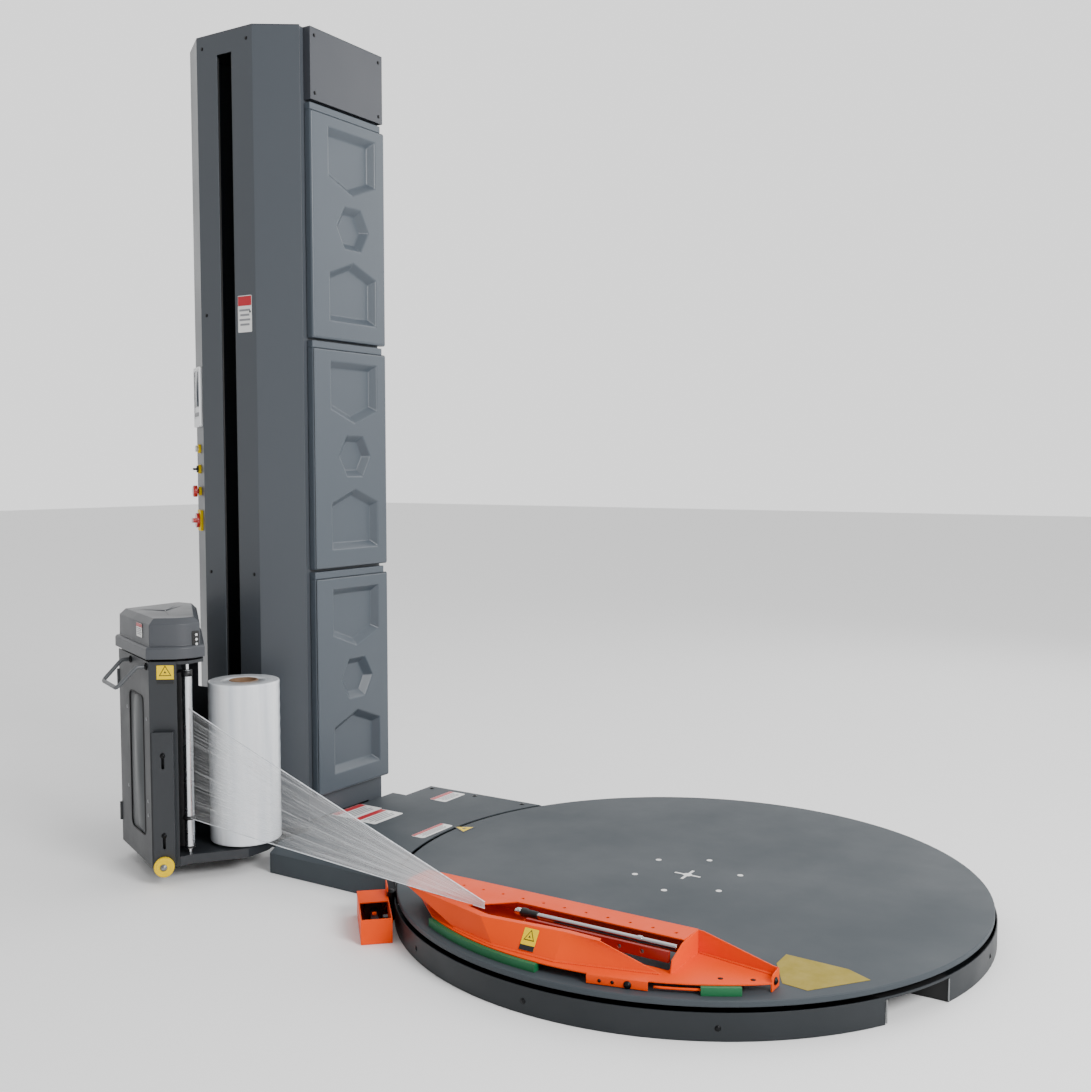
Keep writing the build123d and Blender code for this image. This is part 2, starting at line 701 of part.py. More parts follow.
with BuildPart() as lift_belt:
    with BuildSketch(Plane.YZ.offset(mast_x - pulley_width / 2 + 2)):
        belt_middle = (lower_pulley_z + upper_pulley_z) / 2
        with Locations((0, belt_middle)):
            for spread, mode in ((belt_thickness + chain_gap, Mode.ADD), (chain_gap, Mode.SUBTRACT)):
                span = upper_pulley_z - lower_pulley_z
                SlotCenterToCenter(span, 2 * (pulley_radius + spread), rotation=90, mode=mode)
    extrude(amount=pulley_width - 4)
lift_belt.part.label = "lift_belt"
export_step(lift_belt.part, "parts/lift_belt.step")

with BuildPart() as electrical_box:
    with BuildSketch(Plane.XY.offset(electrical_bottom)):
        with Locations((mast_x, (column_half_depth + mast_back_y) / 2)):
            RectangleRounded(electrical_width, electrical_depth, 6)
    extrude(amount=electrical_height)
electrical_box.part.label = "electrical_box"
export_step(electrical_box.part, "parts/electrical_box.step")

# ---------------------------------------------------------------- controls
face_start = (mast_x - front_half_width, mast_front_y)
face_end = (mast_x - front_corner_half_width, front_corner_y)
face_length = hypot(face_end[0] - face_start[0], face_end[1] - face_start[1])
face_along = ((face_start[0] - face_end[0]) / face_length, (face_start[1] - face_end[1]) / face_length)
face_middle = between(face_start, face_end, 0.5)


def control_plane(height, lift=0.0):
    """A plane on the mast's left front face, with +X to the operator's right and +Z outwards."""
    outward = (face_along[1], -face_along[0])
    return Plane(origin=(face_middle[0] + outward[0] * lift, face_middle[1] + outward[1] * lift, height),
                 x_dir=(face_along[0], face_along[1], 0), z_dir=(outward[0], outward[1], 0))


with BuildPart() as touch_screen:
    with BuildSketch(control_plane(screen_z)):
        RectangleRounded(*screen_size, 6)
    extrude(amount=screen_depth)
    with BuildSketch(control_plane(screen_z, screen_depth)):
        with Locations((0, 8)):
            Rectangle(screen_size[0] - 2 * screen_border, screen_size[1] - 4 * screen_border)
    extrude(amount=-screen_recess, mode=Mode.SUBTRACT)
touch_screen.part.label = "touch_screen"
export_step(touch_screen.part, "parts/touch_screen.step")

with BuildPart() as control_collars:
    with BuildSketch(control_plane(isolator_z)):
        RectangleRounded(70, 70, 4)
    extrude(amount=collar_height)
    for height in (e_stop_z, push_button_z, selector_z):
        with BuildSketch(control_plane(height)):
            Circle(collar_radius)
        extrude(amount=collar_height)
    for height in (e_stop_z, push_button_z, selector_z, isolator_z):
        with BuildSketch(control_plane(height, collar_height)):
            Circle(stem_radius + running_gap)
        extrude(amount=-collar_height, mode=Mode.SUBTRACT)
control_collars.part.label = "control_collars"
export_step(control_collars.part, "parts/control_collars.step")

# each control: name, height, cap radius, cap thickness, gap under the cap
for control_name, height, cap_radius, cap_height, travel in (
        ("e_stop_button", e_stop_z, 20, 14, 5.5), ("push_button", push_button_z, 11, 5, 3.5),
        ("selector_knob", selector_z, 12, 5, 0.5), ("isolator_knob", isolator_z, 25, 10, 0.5)):
    with BuildPart() as control:
        with BuildSketch(control_plane(height, travel)):
            Circle(stem_radius)
        extrude(amount=collar_height)
        with BuildSketch(control_plane(height, collar_height + travel)):
            Circle(cap_radius)
        extrude(amount=cap_height)
        if control_name == "e_stop_button":
            cap_top = Axis(control_plane(height).origin, control_plane(height).z_dir)
            fillet(control.faces().sort_by(cap_top)[-1].edges(), 5)
        if control_name.endswith("knob"):
            with BuildSketch(control_plane(height, collar_height + travel + cap_height)):
                SlotOverall(1.8 * cap_radius, cap_radius / 1.6)
            extrude(amount=12)
    control.part.label = control_name
    export_step(control.part, f"parts/{control_name}.step")

# ---------------------------------------------------------------- clamp actuator by the base
actuator_seat = Plane(origin=(actuator_radius * cos(radians(actuator_angle)),
                              actuator_radius * sin(radians(actuator_angle)), 0),
                      x_dir=(-sin(radians(actuator_angle)), cos(radians(actuator_angle)), 0))
with BuildPart() as actuator_box:
    with BuildSketch(actuator_seat):
        Rectangle(actuator_length, actuator_width)
    extrude(amount=actuator_height)
    with BuildSketch(actuator_seat.offset(sheet)):
        Rectangle(actuator_length - 2 * sheet, actuator_width - 2 * sheet)
    extrude(amount=actuator_height, mode=Mode.SUBTRACT)
    with BuildSketch(actuator_seat.offset(actuator_height - sheet)):
        with Locations((-actuator_length / 2, 0)):
            Rectangle(actuator_length * 0.42, actuator_width, align=(Align.MIN, Align.CENTER))
    extrude(amount=sheet)
    with BuildSketch(actuator_seat.offset(actuator_height)):
        with Locations((-(actuator_length - actuator_tab[0]) / 2, (actuator_width - sheet) / 2)):
            Rectangle(actuator_tab[0], sheet)
    extrude(amount=actuator_tab[1])
    with BuildSketch(actuator_seat.offset(sheet)):
        Circle(axle_radius)
    extrude(amount=40)
actuator_box.part.label = "actuator_box"
export_step(actuator_box.part, "parts/actuator_box.step")

with BuildPart() as actuator_lever:
    with BuildSketch(actuator_seat.offset(24)):
        SlotOverall(lever_length, lever_width)
        Circle(axle_radius + running_gap, mode=Mode.SUBTRACT)
    extrude(amount=lever_thickness)
actuator_lever.part.label = "actuator_lever"
export_step(actuator_lever.part, "parts/actuator_lever.step")

# ---------------------------------------------------------------- film clamp on the turntable
def rim_point(turn, radius):
    """A point at a radius from the turntable's centre, at a turn in degrees from +X."""
    return (radius * cos(radians(turn)), radius * sin(radians(turn)))


def clamp_point(x, setback):
    """A point of the clamp's plan, at x and so far out from its upright wall."""
    return (x, clamp_back_y - setback)


def edge_point(x):
    """The point of the clamp's outer edge at x."""
    return (x, -sqrt(clamp_edge_radius ** 2 - x ** 2))


clamp_floor_bottom = clamp_floor - clamp_sheet
floor_edge_left = edge_point(-389.0)
floor_edge_right = edge_point(467.7)
foot_near = clamp_point(497.0, 74)
foot_far = clamp_point(497.0, 31)
foot_top = 130.0
arm_end_x = clamp_right_x - 15
post_radius = 9.0
posts = [clamp_point(x, setback) for x, setback in
         ((-400, 42), (-260, 102), (200, 177), (-100, 197), (420, 72), (320, 42))]

with BuildPart() as clamp_base:
    with BuildSketch(Plane.XY.offset(clamp_floor_bottom)):
        with BuildLine():
            ThreePointArc(floor_edge_left, edge_point(0.0), floor_edge_right)
            Polyline(floor_edge_right, foot_near, foot_far, (clamp_right_x + 12, clamp_back_y),
                     (clamp_left_x, clamp_back_y), (clamp_left_x, clamp_back_y - clamp_flange / 2),
                     floor_edge_left)
        make_face()
        # the window in the floor, through which the turntable shows
        with BuildLine():
            Polyline((arm_pivot_x + 40, arm_y - 12), (clamp_right_x - 12, arm_y - 12),
                     (clamp_right_x - 12, arm_y + 96), (arm_pivot_x + 40, arm_y + 96), close=True)
        make_face(mode=Mode.SUBTRACT)
    extrude(amount=clamp_sheet)
    # posts that hold the floor above the turntable
    with BuildSketch(Plane.XY.offset(table_top)):
        with Locations(*posts):
            Circle(post_radius)
    extrude(amount=clamp_floor_bottom - table_top)
    # the upright plate across the right end
    with BuildSketch(Plane.YZ.offset(clamp_right_x)):
        with BuildLine():
            Polyline((clamp_back_y - clamp_sheet, clamp_floor), (clamp_back_y - clamp_sheet, clamp_top),
                     (clamp_back_y - 87, clamp_top - 4), (clamp_back_y - 142, clamp_top - 26),
                     (clamp_back_y - 150, clamp_floor), close=True)
        make_face()
    extrude(amount=clamp_sheet)
    # the tail's raised back edge, which falls towards the foot
    with BuildSketch(Plane.XY.offset(clamp_floor)):
        with BuildLine():
            tail_path = [(clamp_right_x + clamp_sheet, clamp_back_y - clamp_sheet),
                         (foot_far[0] - clamp_sheet, foot_far[1] + 2)]
            Polyline(*sheet_outline(tail_path, -clamp_sheet), close=True)
        make_face()
    extrude(amount=clamp_top - clamp_floor)
    with BuildSketch(Plane.XZ.offset(-clamp_back_y - 10)):
        with BuildLine():
            Polyline((clamp_right_x + 12, clamp_top + 1), (foot_far[0] + 9, clamp_top + 1),
                     (foot_far[0] + 9, foot_top), (foot_far[0] - 12, foot_top), close=True)
        make_face()
    extrude(amount=60, mode=Mode.SUBTRACT)
    # the foot that hangs from the tail's end
    with BuildSketch(Plane.YZ.offset(foot_far[0] - clamp_sheet)):
        with BuildLine():
            Polyline((foot_near[1], table_top + 1), (foot_far[1], table_top + 1),
                     (foot_far[1], foot_top), (foot_near[1] + 8, foot_top - 4),
                     (foot_near[1], foot_top - 12), close=True)
        make_face()
    extrude(amount=clamp_sheet)
    # the lug with its bolts that hangs from the outer edge
    lug = Plane(origin=(*rim_point(-76, clamp_edge_radius + 4), table_top + 2),
                x_dir=(-sin(radians(-76)), cos(radians(-76)), 0))
    with BuildSketch(lug):
        Rectangle(142, clamp_sheet)
    extrude(amount=clamp_floor - table_top - 2)
    with BuildSketch(lug.offset(clamp_floor_bottom - table_top - 2)):
        Rectangle(142, 26, align=(Align.CENTER, Align.MIN))
    extrude(amount=clamp_sheet)
    # ears and pin for the clamp arm
    for y in (arm_y - arm_thickness / 2 - 5, arm_y + arm_thickness / 2 + 1):
        with BuildSketch(Plane.XZ.offset(-y)):
            with Locations((arm_pivot_x, clamp_floor)):
                Rectangle(24, arm_pivot_z - clamp_floor + 10, align=(Align.CENTER, Align.MIN))
        extrude(amount=-4)
    with BuildSketch(Plane.XZ.offset(-arm_y - arm_thickness / 2 - 3)):
        with Locations((arm_pivot_x, arm_pivot_z)):
            Circle(axle_radius)
    extrude(amount=arm_thickness + 6)
clamp_base.part.label = "clamp_base"
export_step(clamp_base.part, "parts/clamp_base.step")

with BuildPart() as clamp_rail:
    with BuildSketch(Plane.YZ.offset(clamp_left_x)):
        with BuildLine():
            Polyline(*sheet_outline([(clamp_back_y, clamp_floor), (clamp_back_y, clamp_top),
                                     (clamp_back_y - clamp_flange, clamp_top)], clamp_sheet),
                     close=True)
        make_face()
    extrude(amount=clamp_right_x - clamp_left_x)
    hole_y = clamp_back_y - clamp_flange + 27
    holes = [(clamp_right_x - 33 - step * flange_hole_pitch, hole_y)
             for step in range(flange_hole_count)]
    with Locations(Plane.XY.offset(clamp_top)):
        with Locations(*holes, (holes[-1][0] - 1.15 * flange_hole_pitch, hole_y + 15)):
            Hole(flange_hole_radius, depth=2 * clamp_sheet)
clamp_rail.part.label = "clamp_rail"
export_step(clamp_rail.part, "parts/clamp_rail.step")

with BuildPart() as clamp_guard:
    # the long sloping wall, from its top fold down to the floor plate
    wall_top = [clamp_point(*at) for at in ((-491, 125), (-200, 204), (25, 184), (123, 189))]
    wall_foot = [clamp_point(*at) for at in ((-290, 187), (-150, 226), (25, 230), (268, 162))]
    for path, height in ((wall_top, clamp_top), (wall_foot, clamp_floor)):
        with BuildSketch(Plane.XY.offset(height)):
            with BuildLine():
                Polyline(*sheet_outline(path, clamp_sheet), close=True)
            make_face()
    loft(ruled=True)
    # the top plate over the left end, and the narrow flange along the fold
    guard_back_y = clamp_back_y - clamp_flange - 0.2
    with BuildSketch(Plane.XY.offset(clamp_top - clamp_sheet)):
        with BuildLine():
            Polyline((clamp_left_x, guard_back_y), *wall_top,
                     *[clamp_point(*at) for at in ((118, 173), (25, 168), (-190, 186), (-270, 162))],
                     (-178, guard_back_y), close=True)
        make_face()
    extrude(amount=clamp_sheet)
clamp_guard.part.label = "clamp_guard"
export_step(clamp_guard.part, "parts/clamp_guard.step")

with BuildPart() as edge_strips:
    strip_outer = clamp_edge_radius + strip_margin
    for start_turn, end_turn in strip_turns:
        with BuildSketch(Plane.XY.offset(table_top)):
            with BuildLine():
                outer = ThreePointArc(rim_point(start_turn, strip_outer),
                                      rim_point((start_turn + end_turn) / 2, strip_outer),
                                      rim_point(end_turn, strip_outer))
                inner = ThreePointArc(rim_point(end_turn, strip_outer - strip_width),
                                      rim_point((start_turn + end_turn) / 2, strip_outer - strip_width),
                                      rim_point(start_turn, strip_outer - strip_width))
                Line(outer @ 1, inner @ 0)
                Line(inner @ 1, outer @ 0)
            make_face()
        extrude(amount=clamp_floor_bottom - table_top)
edge_strips.part.label = "edge_strips"
export_step(edge_strips.part, "parts/edge_strips.step")

with BuildPart() as clamp_arm:
    with BuildSketch(Plane.XZ.offset(-arm_y - arm_thickness / 2)):
        with Locations((arm_pivot_x, arm_pivot_z)):
            Circle(arm_eye)
        with Locations(((arm_pivot_x + arm_end_x) / 2, arm_pivot_z + 6)):
            Rectangle(arm_end_x - arm_pivot_x, arm_web)
        with Locations((arm_pivot_x, arm_pivot_z)):
            Circle(axle_radius + running_gap, mode=Mode.SUBTRACT)
        with Locations(*[(arm_pivot_x + step, arm_pivot_z + 6) for step in range(80, 380, int(arm_hole_pitch))]):
            Circle(arm_hole, mode=Mode.SUBTRACT)
    extrude(amount=arm_thickness)
clamp_arm.part.label = "clamp_arm"
export_step(clamp_arm.part, "parts/clamp_arm.step")

with BuildPart() as pusher_rod:
    with BuildSketch(Plane.YZ.offset(clamp_right_x - 400)):
        with Locations((arm_y + 30, clamp_top - 16)):
            Circle(rod_radius)
    extrude(amount=rod_length)
    with BuildSketch(Plane.YZ.offset(clamp_right_x - 110)):
        with Locations((arm_y + 30, clamp_top - 16)):
            Circle(rod_collar)
    extrude(amount=12)
pusher_rod.part.label = "pusher_rod"
export_step(pusher_rod.part, "parts/pusher_rod.step")

# ---------------------------------------------------------------- carriage
casing_path = [(casing_side_x, carriage_back_y), (door_hinge[0], carriage_back_y),
               (door_hinge[0], door_hinge[1] + 12)]
with BuildPart() as carriage_casing:
    with BuildSketch(Plane.XY.offset(carriage_bottom)):
        with BuildLine():
            Polyline(*sheet_outline(casing_path, sheet), close=True)
        make_face()
    extrude(amount=carriage_top - carriage_bottom)
    # above the arm the back is narrower, so that the film roll lifts in and out
    with BuildSketch(Plane.XY.offset(shoulder_z)):
        with Locations((upper_back_x, carriage_back_y)):
            Rectangle(casing_side_x - upper_back_x, sheet, align=(Align.MIN, Align.MAX))
    extrude(amount=carriage_top - shoulder_z, mode=Mode.SUBTRACT)
    # the plate over the rollers
    plate_loop = [(door_hinge[0] + sheet, carriage_back_y - sheet),
                  (door_hinge[0] + sheet, door_hinge[1] + 12),
                  (door_corner[0] - 6, door_corner[1] + 14), (door_end[0] - 6, door_end[1] + 8),
                  (idler_x + 28, idler_y - 20), (idler_x + 28, idler_y + 40),
                  (upper_back_x, carriage_back_y - sheet)]
    with BuildSketch(Plane.XY.offset(carriage_top - top_plate)):
        with BuildLine():
            Polyline(*plate_loop, close=True)
        make_face()
    extrude(amount=top_plate)
    for x, y in stretch_centres:
        with BuildSketch(Plane.XY.offset(carriage_top - top_plate)):
            with Locations((x, y)):
                Circle(stretch_shaft + running_gap)
        extrude(amount=top_plate, mode=Mode.SUBTRACT)
    with BuildSketch(Plane.XY.offset(carriage_top - top_plate)):
        with Locations((idler_x, idler_y)):
            Circle(axle_radius + running_gap)
    extrude(amount=top_plate, mode=Mode.SUBTRACT)
    # hinge lugs with their pins, above and below each of the door's barrels
    for low in (carriage_bottom + 70, carriage_top - 70 - hinge_height):
        for lug_z in (low - 4, low + hinge_height):
            with BuildSketch(Plane.XY.offset(lug_z)):
                with Locations(door_hinge):
                    Circle(hinge_barrel)
                    Rectangle(hinge_barrel, 14, align=(Align.CENTER, Align.MIN))
            extrude(amount=4)
        with BuildSketch(Plane.XY.offset(low)):
            with Locations(door_hinge):
                Circle(hinge_pin)
        extrude(amount=hinge_height)
carriage_casing.part.label = "carriage_casing"
export_step(carriage_casing.part, "parts/carriage_casing.step")

with BuildPart() as carriage_tray:
    tray_edge = film_radius - 32
    with BuildSketch(Plane.XY.offset(carriage_bottom)):
        with BuildLine():
            Polyline((door_end[0] - 4, door_end[1] + 6), (door_end[0] + 10, idler_y - 6),
                     (reel_x + 53, reel_y - 104), (reel_x + tray_edge, reel_y - 66))
            Line((reel_x + tray_edge, reel_y - 66), (reel_x + tray_edge, reel_y + 13))
            ThreePointArc((reel_x + tray_edge, reel_y + 13),
                          (reel_x + 0.75 * tray_edge, reel_y + 0.75 * tray_edge),
                          (reel_x, carriage_back_y - sheet))
            Polyline((reel_x, carriage_back_y - sheet), (door_hinge[0] + sheet, carriage_back_y - sheet),
                     (door_hinge[0] + sheet, door_hinge[1] + 12),
                     (door_corner[0] - 6, door_corner[1] + 14), (door_end[0] - 4, door_end[1] + 6))
        make_face()
    extrude(amount=tray_top - carriage_bottom)
    with BuildSketch(Plane.XY.offset(carriage_bottom)) as under:
        add(carriage_tray.faces().sort_by(Axis.Z)[0])
        offset(amount=-sheet, kind=Kind.INTERSECTION, mode=Mode.REPLACE)
    extrude(amount=tray_top - tray_plate - carriage_bottom, mode=Mode.SUBTRACT)
    # bearing bosses under the plate
    bosses = [(reel_x, reel_y, axle_radius * 2)] + [(x, y, stretch_shaft) for x, y in stretch_centres]
    bosses += [(idler_x, idler_y, axle_radius)]
    for x, y, shaft in bosses:
        with BuildSketch(Plane.XY.offset(carriage_bottom + 6)):
            with Locations((x, y)):
                Circle(shaft + 8)
        extrude(amount=tray_top - carriage_bottom - 6)
        with BuildSketch(Plane.XY.offset(carriage_bottom)):
            with Locations((x, y)):
                Circle(shaft + running_gap)
        extrude(amount=tray_top, mode=Mode.SUBTRACT)
carriage_tray.part.label = "carriage_tray"
export_step(carriage_tray.part, "parts/carriage_tray.step")

with BuildPart() as carriage_arm:
    arm_back_y = -column_half_depth + 12
    with BuildSketch(Plane.XY.offset(arm_bottom)):
        with Locations((mast_x, carriage_back_y)):
            Rectangle(2 * arm_half_width, arm_back_y - carriage_back_y,
                      align=(Align.CENTER, Align.MIN))
            Rectangle(2 * arm_half_width - 12, arm_back_y - carriage_back_y,
                      align=(Align.CENTER, Align.MIN), mode=Mode.SUBTRACT)
    extrude(amount=arm_top - arm_bottom)
    with BuildSketch(Plane.XY.offset(trolley_bottom)):
        with Locations((mast_x, arm_back_y)):
            Rectangle(2 * trolley_half_width, 8, align=(Align.CENTER, Align.MIN))
    extrude(amount=trolley_top - trolley_bottom)
    # the block that grips the lift belt
    with BuildSketch(Plane.XY.offset((trolley_bottom + trolley_top) / 2)):
        with Locations((mast_x, arm_back_y + 8)):
            Rectangle(36, -pulley_radius - belt_thickness - 2 * chain_gap - arm_back_y - 8,
                      align=(Align.CENTER, Align.MIN))
    extrude(amount=50)
carriage_arm.part.label = "carriage_arm"
export_step(carriage_arm.part, "parts/carriage_arm.step")

with BuildPart() as guide_shoes:
    for side in (1, -1):
        for low in (trolley_bottom, trolley_top - shoe_height):
            with BuildSketch(Plane.XY.offset(low)):
                shoe_end = column_half_width - column_wall - shoe_gap
                with Locations((mast_x + side * (trolley_half_width + shoe_end) / 2,
                                -column_half_depth + column_wall + shoe_gap)):
                    Rectangle(shoe_end - trolley_half_width, 30, align=(Align.CENTER, Align.MIN))
            extrude(amount=shoe_height)
guide_shoes.part.label = "guide_shoes"
export_step(guide_shoes.part, "parts/guide_shoes.step")

hood_loop = [(door_hinge[0], carriage_back_y - sheet), (door_hinge[0], door_hinge[1]), door_corner,
             door_end, (idler_x + idler_nose, idler_y - 8), (idler_x + idler_nose, idler_y + 30),
             (upper_back_x + hood_overhang, carriage_back_y - sheet)]
body_loop = inset(hood_loop, 4)
with BuildPart() as carriage_hood:
    for loop, low, high in ((inset(hood_loop, -hood_overhang), hood_bottom, hood_bottom + hood_rim),
                            (body_loop, hood_bottom + hood_rim, hood_top)):
        with BuildSketch(Plane.XY.offset(low)):
            with BuildLine():
                Polyline(*loop, close=True)
            make_face()
        extrude(amount=high - low)
    chamfer(carriage_hood.faces().sort_by(Axis.Z)[-1].edges(), 16)
    for loop, low, high in ((inset(hood_loop, -hood_overhang + hood_wall), hood_bottom,
                             hood_bottom + hood_rim - hood_wall),
                            (inset(hood_loop, 4 + hood_wall), hood_bottom, hood_top - 20),
                            (inset(hood_loop, 24 + hood_wall), hood_bottom, hood_top - hood_wall)):
        with BuildSketch(Plane.XY.offset(low)):
            with BuildLine():
                Polyline(*loop, close=True)
            make_face()
        extrude(amount=high - low, mode=Mode.SUBTRACT)
carriage_hood.part.label = "carriage_hood"
export_step(carriage_hood.part, "parts/carriage_hood.step")

with BuildPart() as stretch_gearmotor:
    motor_x, motor_y = between(*stretch_centres, 0.5)
    with BuildSketch(Plane.XY.offset(carriage_top)):
        with Locations((motor_x, motor_y)):
            RectangleRounded(*stretch_gearbox, 10)
    extrude(amount=stretch_gearbox_height)
    with BuildSketch(Plane.XY.offset(carriage_top + stretch_gearbox_height)):
        with Locations((motor_x - 20, motor_y)):
            Circle(stretch_motor_radius)
    extrude(amount=stretch_motor_height)
    for x, y in stretch_centres:
        with BuildSketch(Plane.XY.offset(carriage_top)):
            with Locations((x, y)):
                Circle(stretch_shaft + running_gap)
        extrude(amount=20, mode=Mode.SUBTRACT)
stretch_gearmotor.part.label = "stretch_gearmotor"
export_step(stretch_gearmotor.part, "parts/stretch_gearmotor.step")

for number, (x, y) in enumerate(stretch_centres, 1):
    with BuildPart() as stretch_roller:
        with BuildSketch(Plane.XY.offset(tray_top + 6)):
            with Locations((x, y)):
                Circle(stretch_radius)
        extrude(amount=film_width + 40)
        with BuildSketch(Plane.XY.offset(carriage_bottom + 8)):
            with Locations((x, y)):
                Circle(stretch_shaft)
        extrude(amount=carriage_top + 10 - carriage_bottom - 8)
    stretch_roller.part.label = f"stretch_roller_{number}"
    export_step(stretch_roller.part, f"parts/stretch_roller_{number}.step")

with BuildPart() as idler_roller:
    with BuildSketch(Plane.XY.offset(tray_top + 16)):
        with Locations((idler_x, idler_y)):
            Circle(idler_radius)
    extrude(amount=film_width + 46)
    with BuildSketch(Plane.XY.offset(carriage_bottom + 8)):
        with Locations((idler_x, idler_y)):
            Circle(axle_radius)
    extrude(amount=carriage_top - carriage_bottom - 10)
idler_roller.part.label = "idler_roller"
export_step(idler_roller.part, "parts/idler_roller.step")

reel_base = tray_top + 1 + reel_flange
with BuildPart() as reel_spindle:
    with BuildSketch(Plane.XY.offset(carriage_bottom + 8)):
        with Locations((reel_x, reel_y)):
            Circle(2 * axle_radius)
    extrude(amount=tray_top + 1 - carriage_bottom - 8)
    with BuildSketch(Plane.XY.offset(tray_top + 1)):
        with Locations((reel_x, reel_y)):
            Circle(film_radius * 0.6)
    extrude(amount=reel_flange)
    with BuildSketch(Plane.XY.offset(reel_base)):
        with Locations((reel_x, reel_y)):
            Circle(core_bore)
    extrude(amount=120)
reel_spindle.part.label = "reel_spindle"
export_step(reel_spindle.part, "parts/reel_spindle.step")

with BuildPart() as film_core:
    with BuildSketch(Plane.XY.offset(reel_base)):
        with Locations((reel_x, reel_y)):
            Circle(core_bore + core_wall)
            Circle(core_bore, mode=Mode.SUBTRACT)
    extrude(amount=film_width)
film_core.part.label = "film_core"
export_step(film_core.part, "parts/film_core.step")

with BuildPart() as film_roll:
    with BuildSketch(Plane.XY.offset(reel_base)):
        with Locations((reel_x, reel_y)):
            Circle(film_radius)
            Circle(core_bore + core_wall, mode=Mode.SUBTRACT)
    extrude(amount=film_width)
film_roll.part.label = "film_roll"
export_step(film_roll.part, "parts/film_roll.step")

# ---------------------------------------------------------------- casing door and what it carries
door_angle = atan2(door_corner[1] - door_hinge[1], door_corner[0] - door_hinge[0])
door_length = hypot(door_corner[0] - door_hinge[0], door_corner[1] - door_hinge[1])
door_outward = (sin(door_angle), -cos(door_angle), 0)
door_start = between(door_hinge, door_corner, door_clear / door_length)
end_angle = atan2(door_end[1] - door_corner[1], door_end[0] - door_corner[0])
end_length = hypot(door_end[0] - door_corner[0], door_end[1] - door_corner[1])
end_outward = (sin(end_angle), -cos(end_angle), 0)


def door_plane(share, height, lift=0.0):
    """A plane on the door's wide face, a share of the way along it, with +Z outwards."""
    x, y = between(door_hinge, door_corner, share)
    return Plane(origin=(x + door_outward[0] * lift, y + door_outward[1] * lift, height),
                 x_dir=(cos(door_angle), sin(door_angle), 0), z_dir=door_outward)


def end_plane(height, lift=0.0):
    """A plane at the middle of the door's narrow end face, with +Z outwards."""
    x, y = between(door_corner, door_end, 0.5)
    return Plane(origin=(x + end_outward[0] * lift, y + end_outward[1] * lift, height),
                 x_dir=(cos(end_angle), sin(end_angle), 0), z_dir=end_outward)


with BuildPart() as casing_door:
    with BuildSketch(Plane.XY.offset(carriage_bottom)):
        with BuildLine():
            Polyline(*sheet_outline([door_start, door_corner, door_end], sheet), close=True)
        make_face()
    extrude(amount=carriage_top - carriage_bottom)
    # the window, with its cut corners
    window_middle = (window_low + window_high) / 2
    with BuildSketch(door_plane(window_share, window_middle)):
        RectangleRounded(window_width, window_high - window_low, 22)
    extrude(amount=-sheet, mode=Mode.SUBTRACT)
    with BuildSketch(door_plane(window_share, window_middle, -sheet)):
        Rectangle(window_width + 30, window_high - window_low + 30)
    extrude(amount=-2)
    for low in (carriage_bottom + 70, carriage_top - 70 - hinge_height):
        with BuildSketch(Plane.XY.offset(low + 0.5)):
            with Locations(door_hinge):
                Circle(hinge_barrel)
                Circle(hinge_pin + running_gap, mode=Mode.SUBTRACT)
        extrude(amount=hinge_height - 1)
        # room for the casing's lugs above and below the barrel
        for lug_z in (low - 4, low + hinge_height):
            with BuildSketch(Plane.XY.offset(lug_z - 0.5)):
                with Locations(door_hinge):
                    Circle(hinge_barrel + 1)
            extrude(amount=5, mode=Mode.SUBTRACT)
    # the two guide studs of the toe guard
    for height in (guard_bottom + 90, guard_top - 70):
        with BuildSketch(end_plane(height)):
            Circle(4)
        extrude(amount=guard_depth + 2)
casing_door.part.label = "casing_door"
export_step(casing_door.part, "parts/casing_door.step")

with BuildPart() as door_handle:
    mount_z = carriage_top - 16
    reach, drop = 86, 58
    with BuildLine() as handle_path:
        ends = [door_plane(share, mount_z, 0) for share in (0.43, 0.93)]
        bends = [door_plane(share, mount_z, 28) for share in (0.43, 0.93)]
        grips = [door_plane(share, mount_z - drop, reach) for share in (0.45, 0.91)]
        FilletPolyline(ends[0].origin, bends[0].origin, grips[0].origin, grips[1].origin,
                       bends[1].origin, ends[1].origin, radius=14)
    with BuildSketch(Plane(origin=ends[0].origin, z_dir=door_outward)):
        Circle(handle_radius)
    sweep()
door_handle.part.label = "door_handle"
export_step(door_handle.part, "parts/door_handle.step")

with BuildPart() as toe_guard:
    guard_middle = (guard_bottom + guard_top) / 2
    guard_height = guard_top - guard_bottom
    with BuildSketch(end_plane(guard_middle, 0.5)):
        Rectangle(guard_width, guard_height)
    extrude(amount=guard_depth)
    with BuildSketch(end_plane(guard_middle, 0.5)):
        Rectangle(guard_width - 2 * sheet, guard_height)
    extrude(amount=guard_depth - sheet, mode=Mode.SUBTRACT)
    for height in (guard_bottom + 90, guard_top - 70):
        with BuildSketch(end_plane(height - 16)):
            SlotOverall(50, 9, rotation=90)
        extrude(amount=guard_depth + 2, mode=Mode.SUBTRACT)
    with BuildSketch(end_plane(toe_wheel_z, guard_depth + 0.5)):
        Circle(axle_radius)
    extrude(amount=toe_wheel_width + 3)
    with BuildSketch(end_plane(guard_bottom, guard_depth + 0.5)):
        Rectangle(30, 30)
    extrude(amount=-sheet)
toe_guard.part.label = "toe_guard"
export_step(toe_guard.part, "parts/toe_guard.step")

with BuildPart() as toe_wheel:
    with BuildSketch(end_plane(toe_wheel_z, guard_depth + 1)):
        Circle(toe_wheel_radius)
        Circle(axle_radius + running_gap, mode=Mode.SUBTRACT)
    extrude(amount=toe_wheel_width)
toe_wheel.part.label = "toe_wheel"
export_step(toe_wheel.part, "parts/toe_wheel.step")

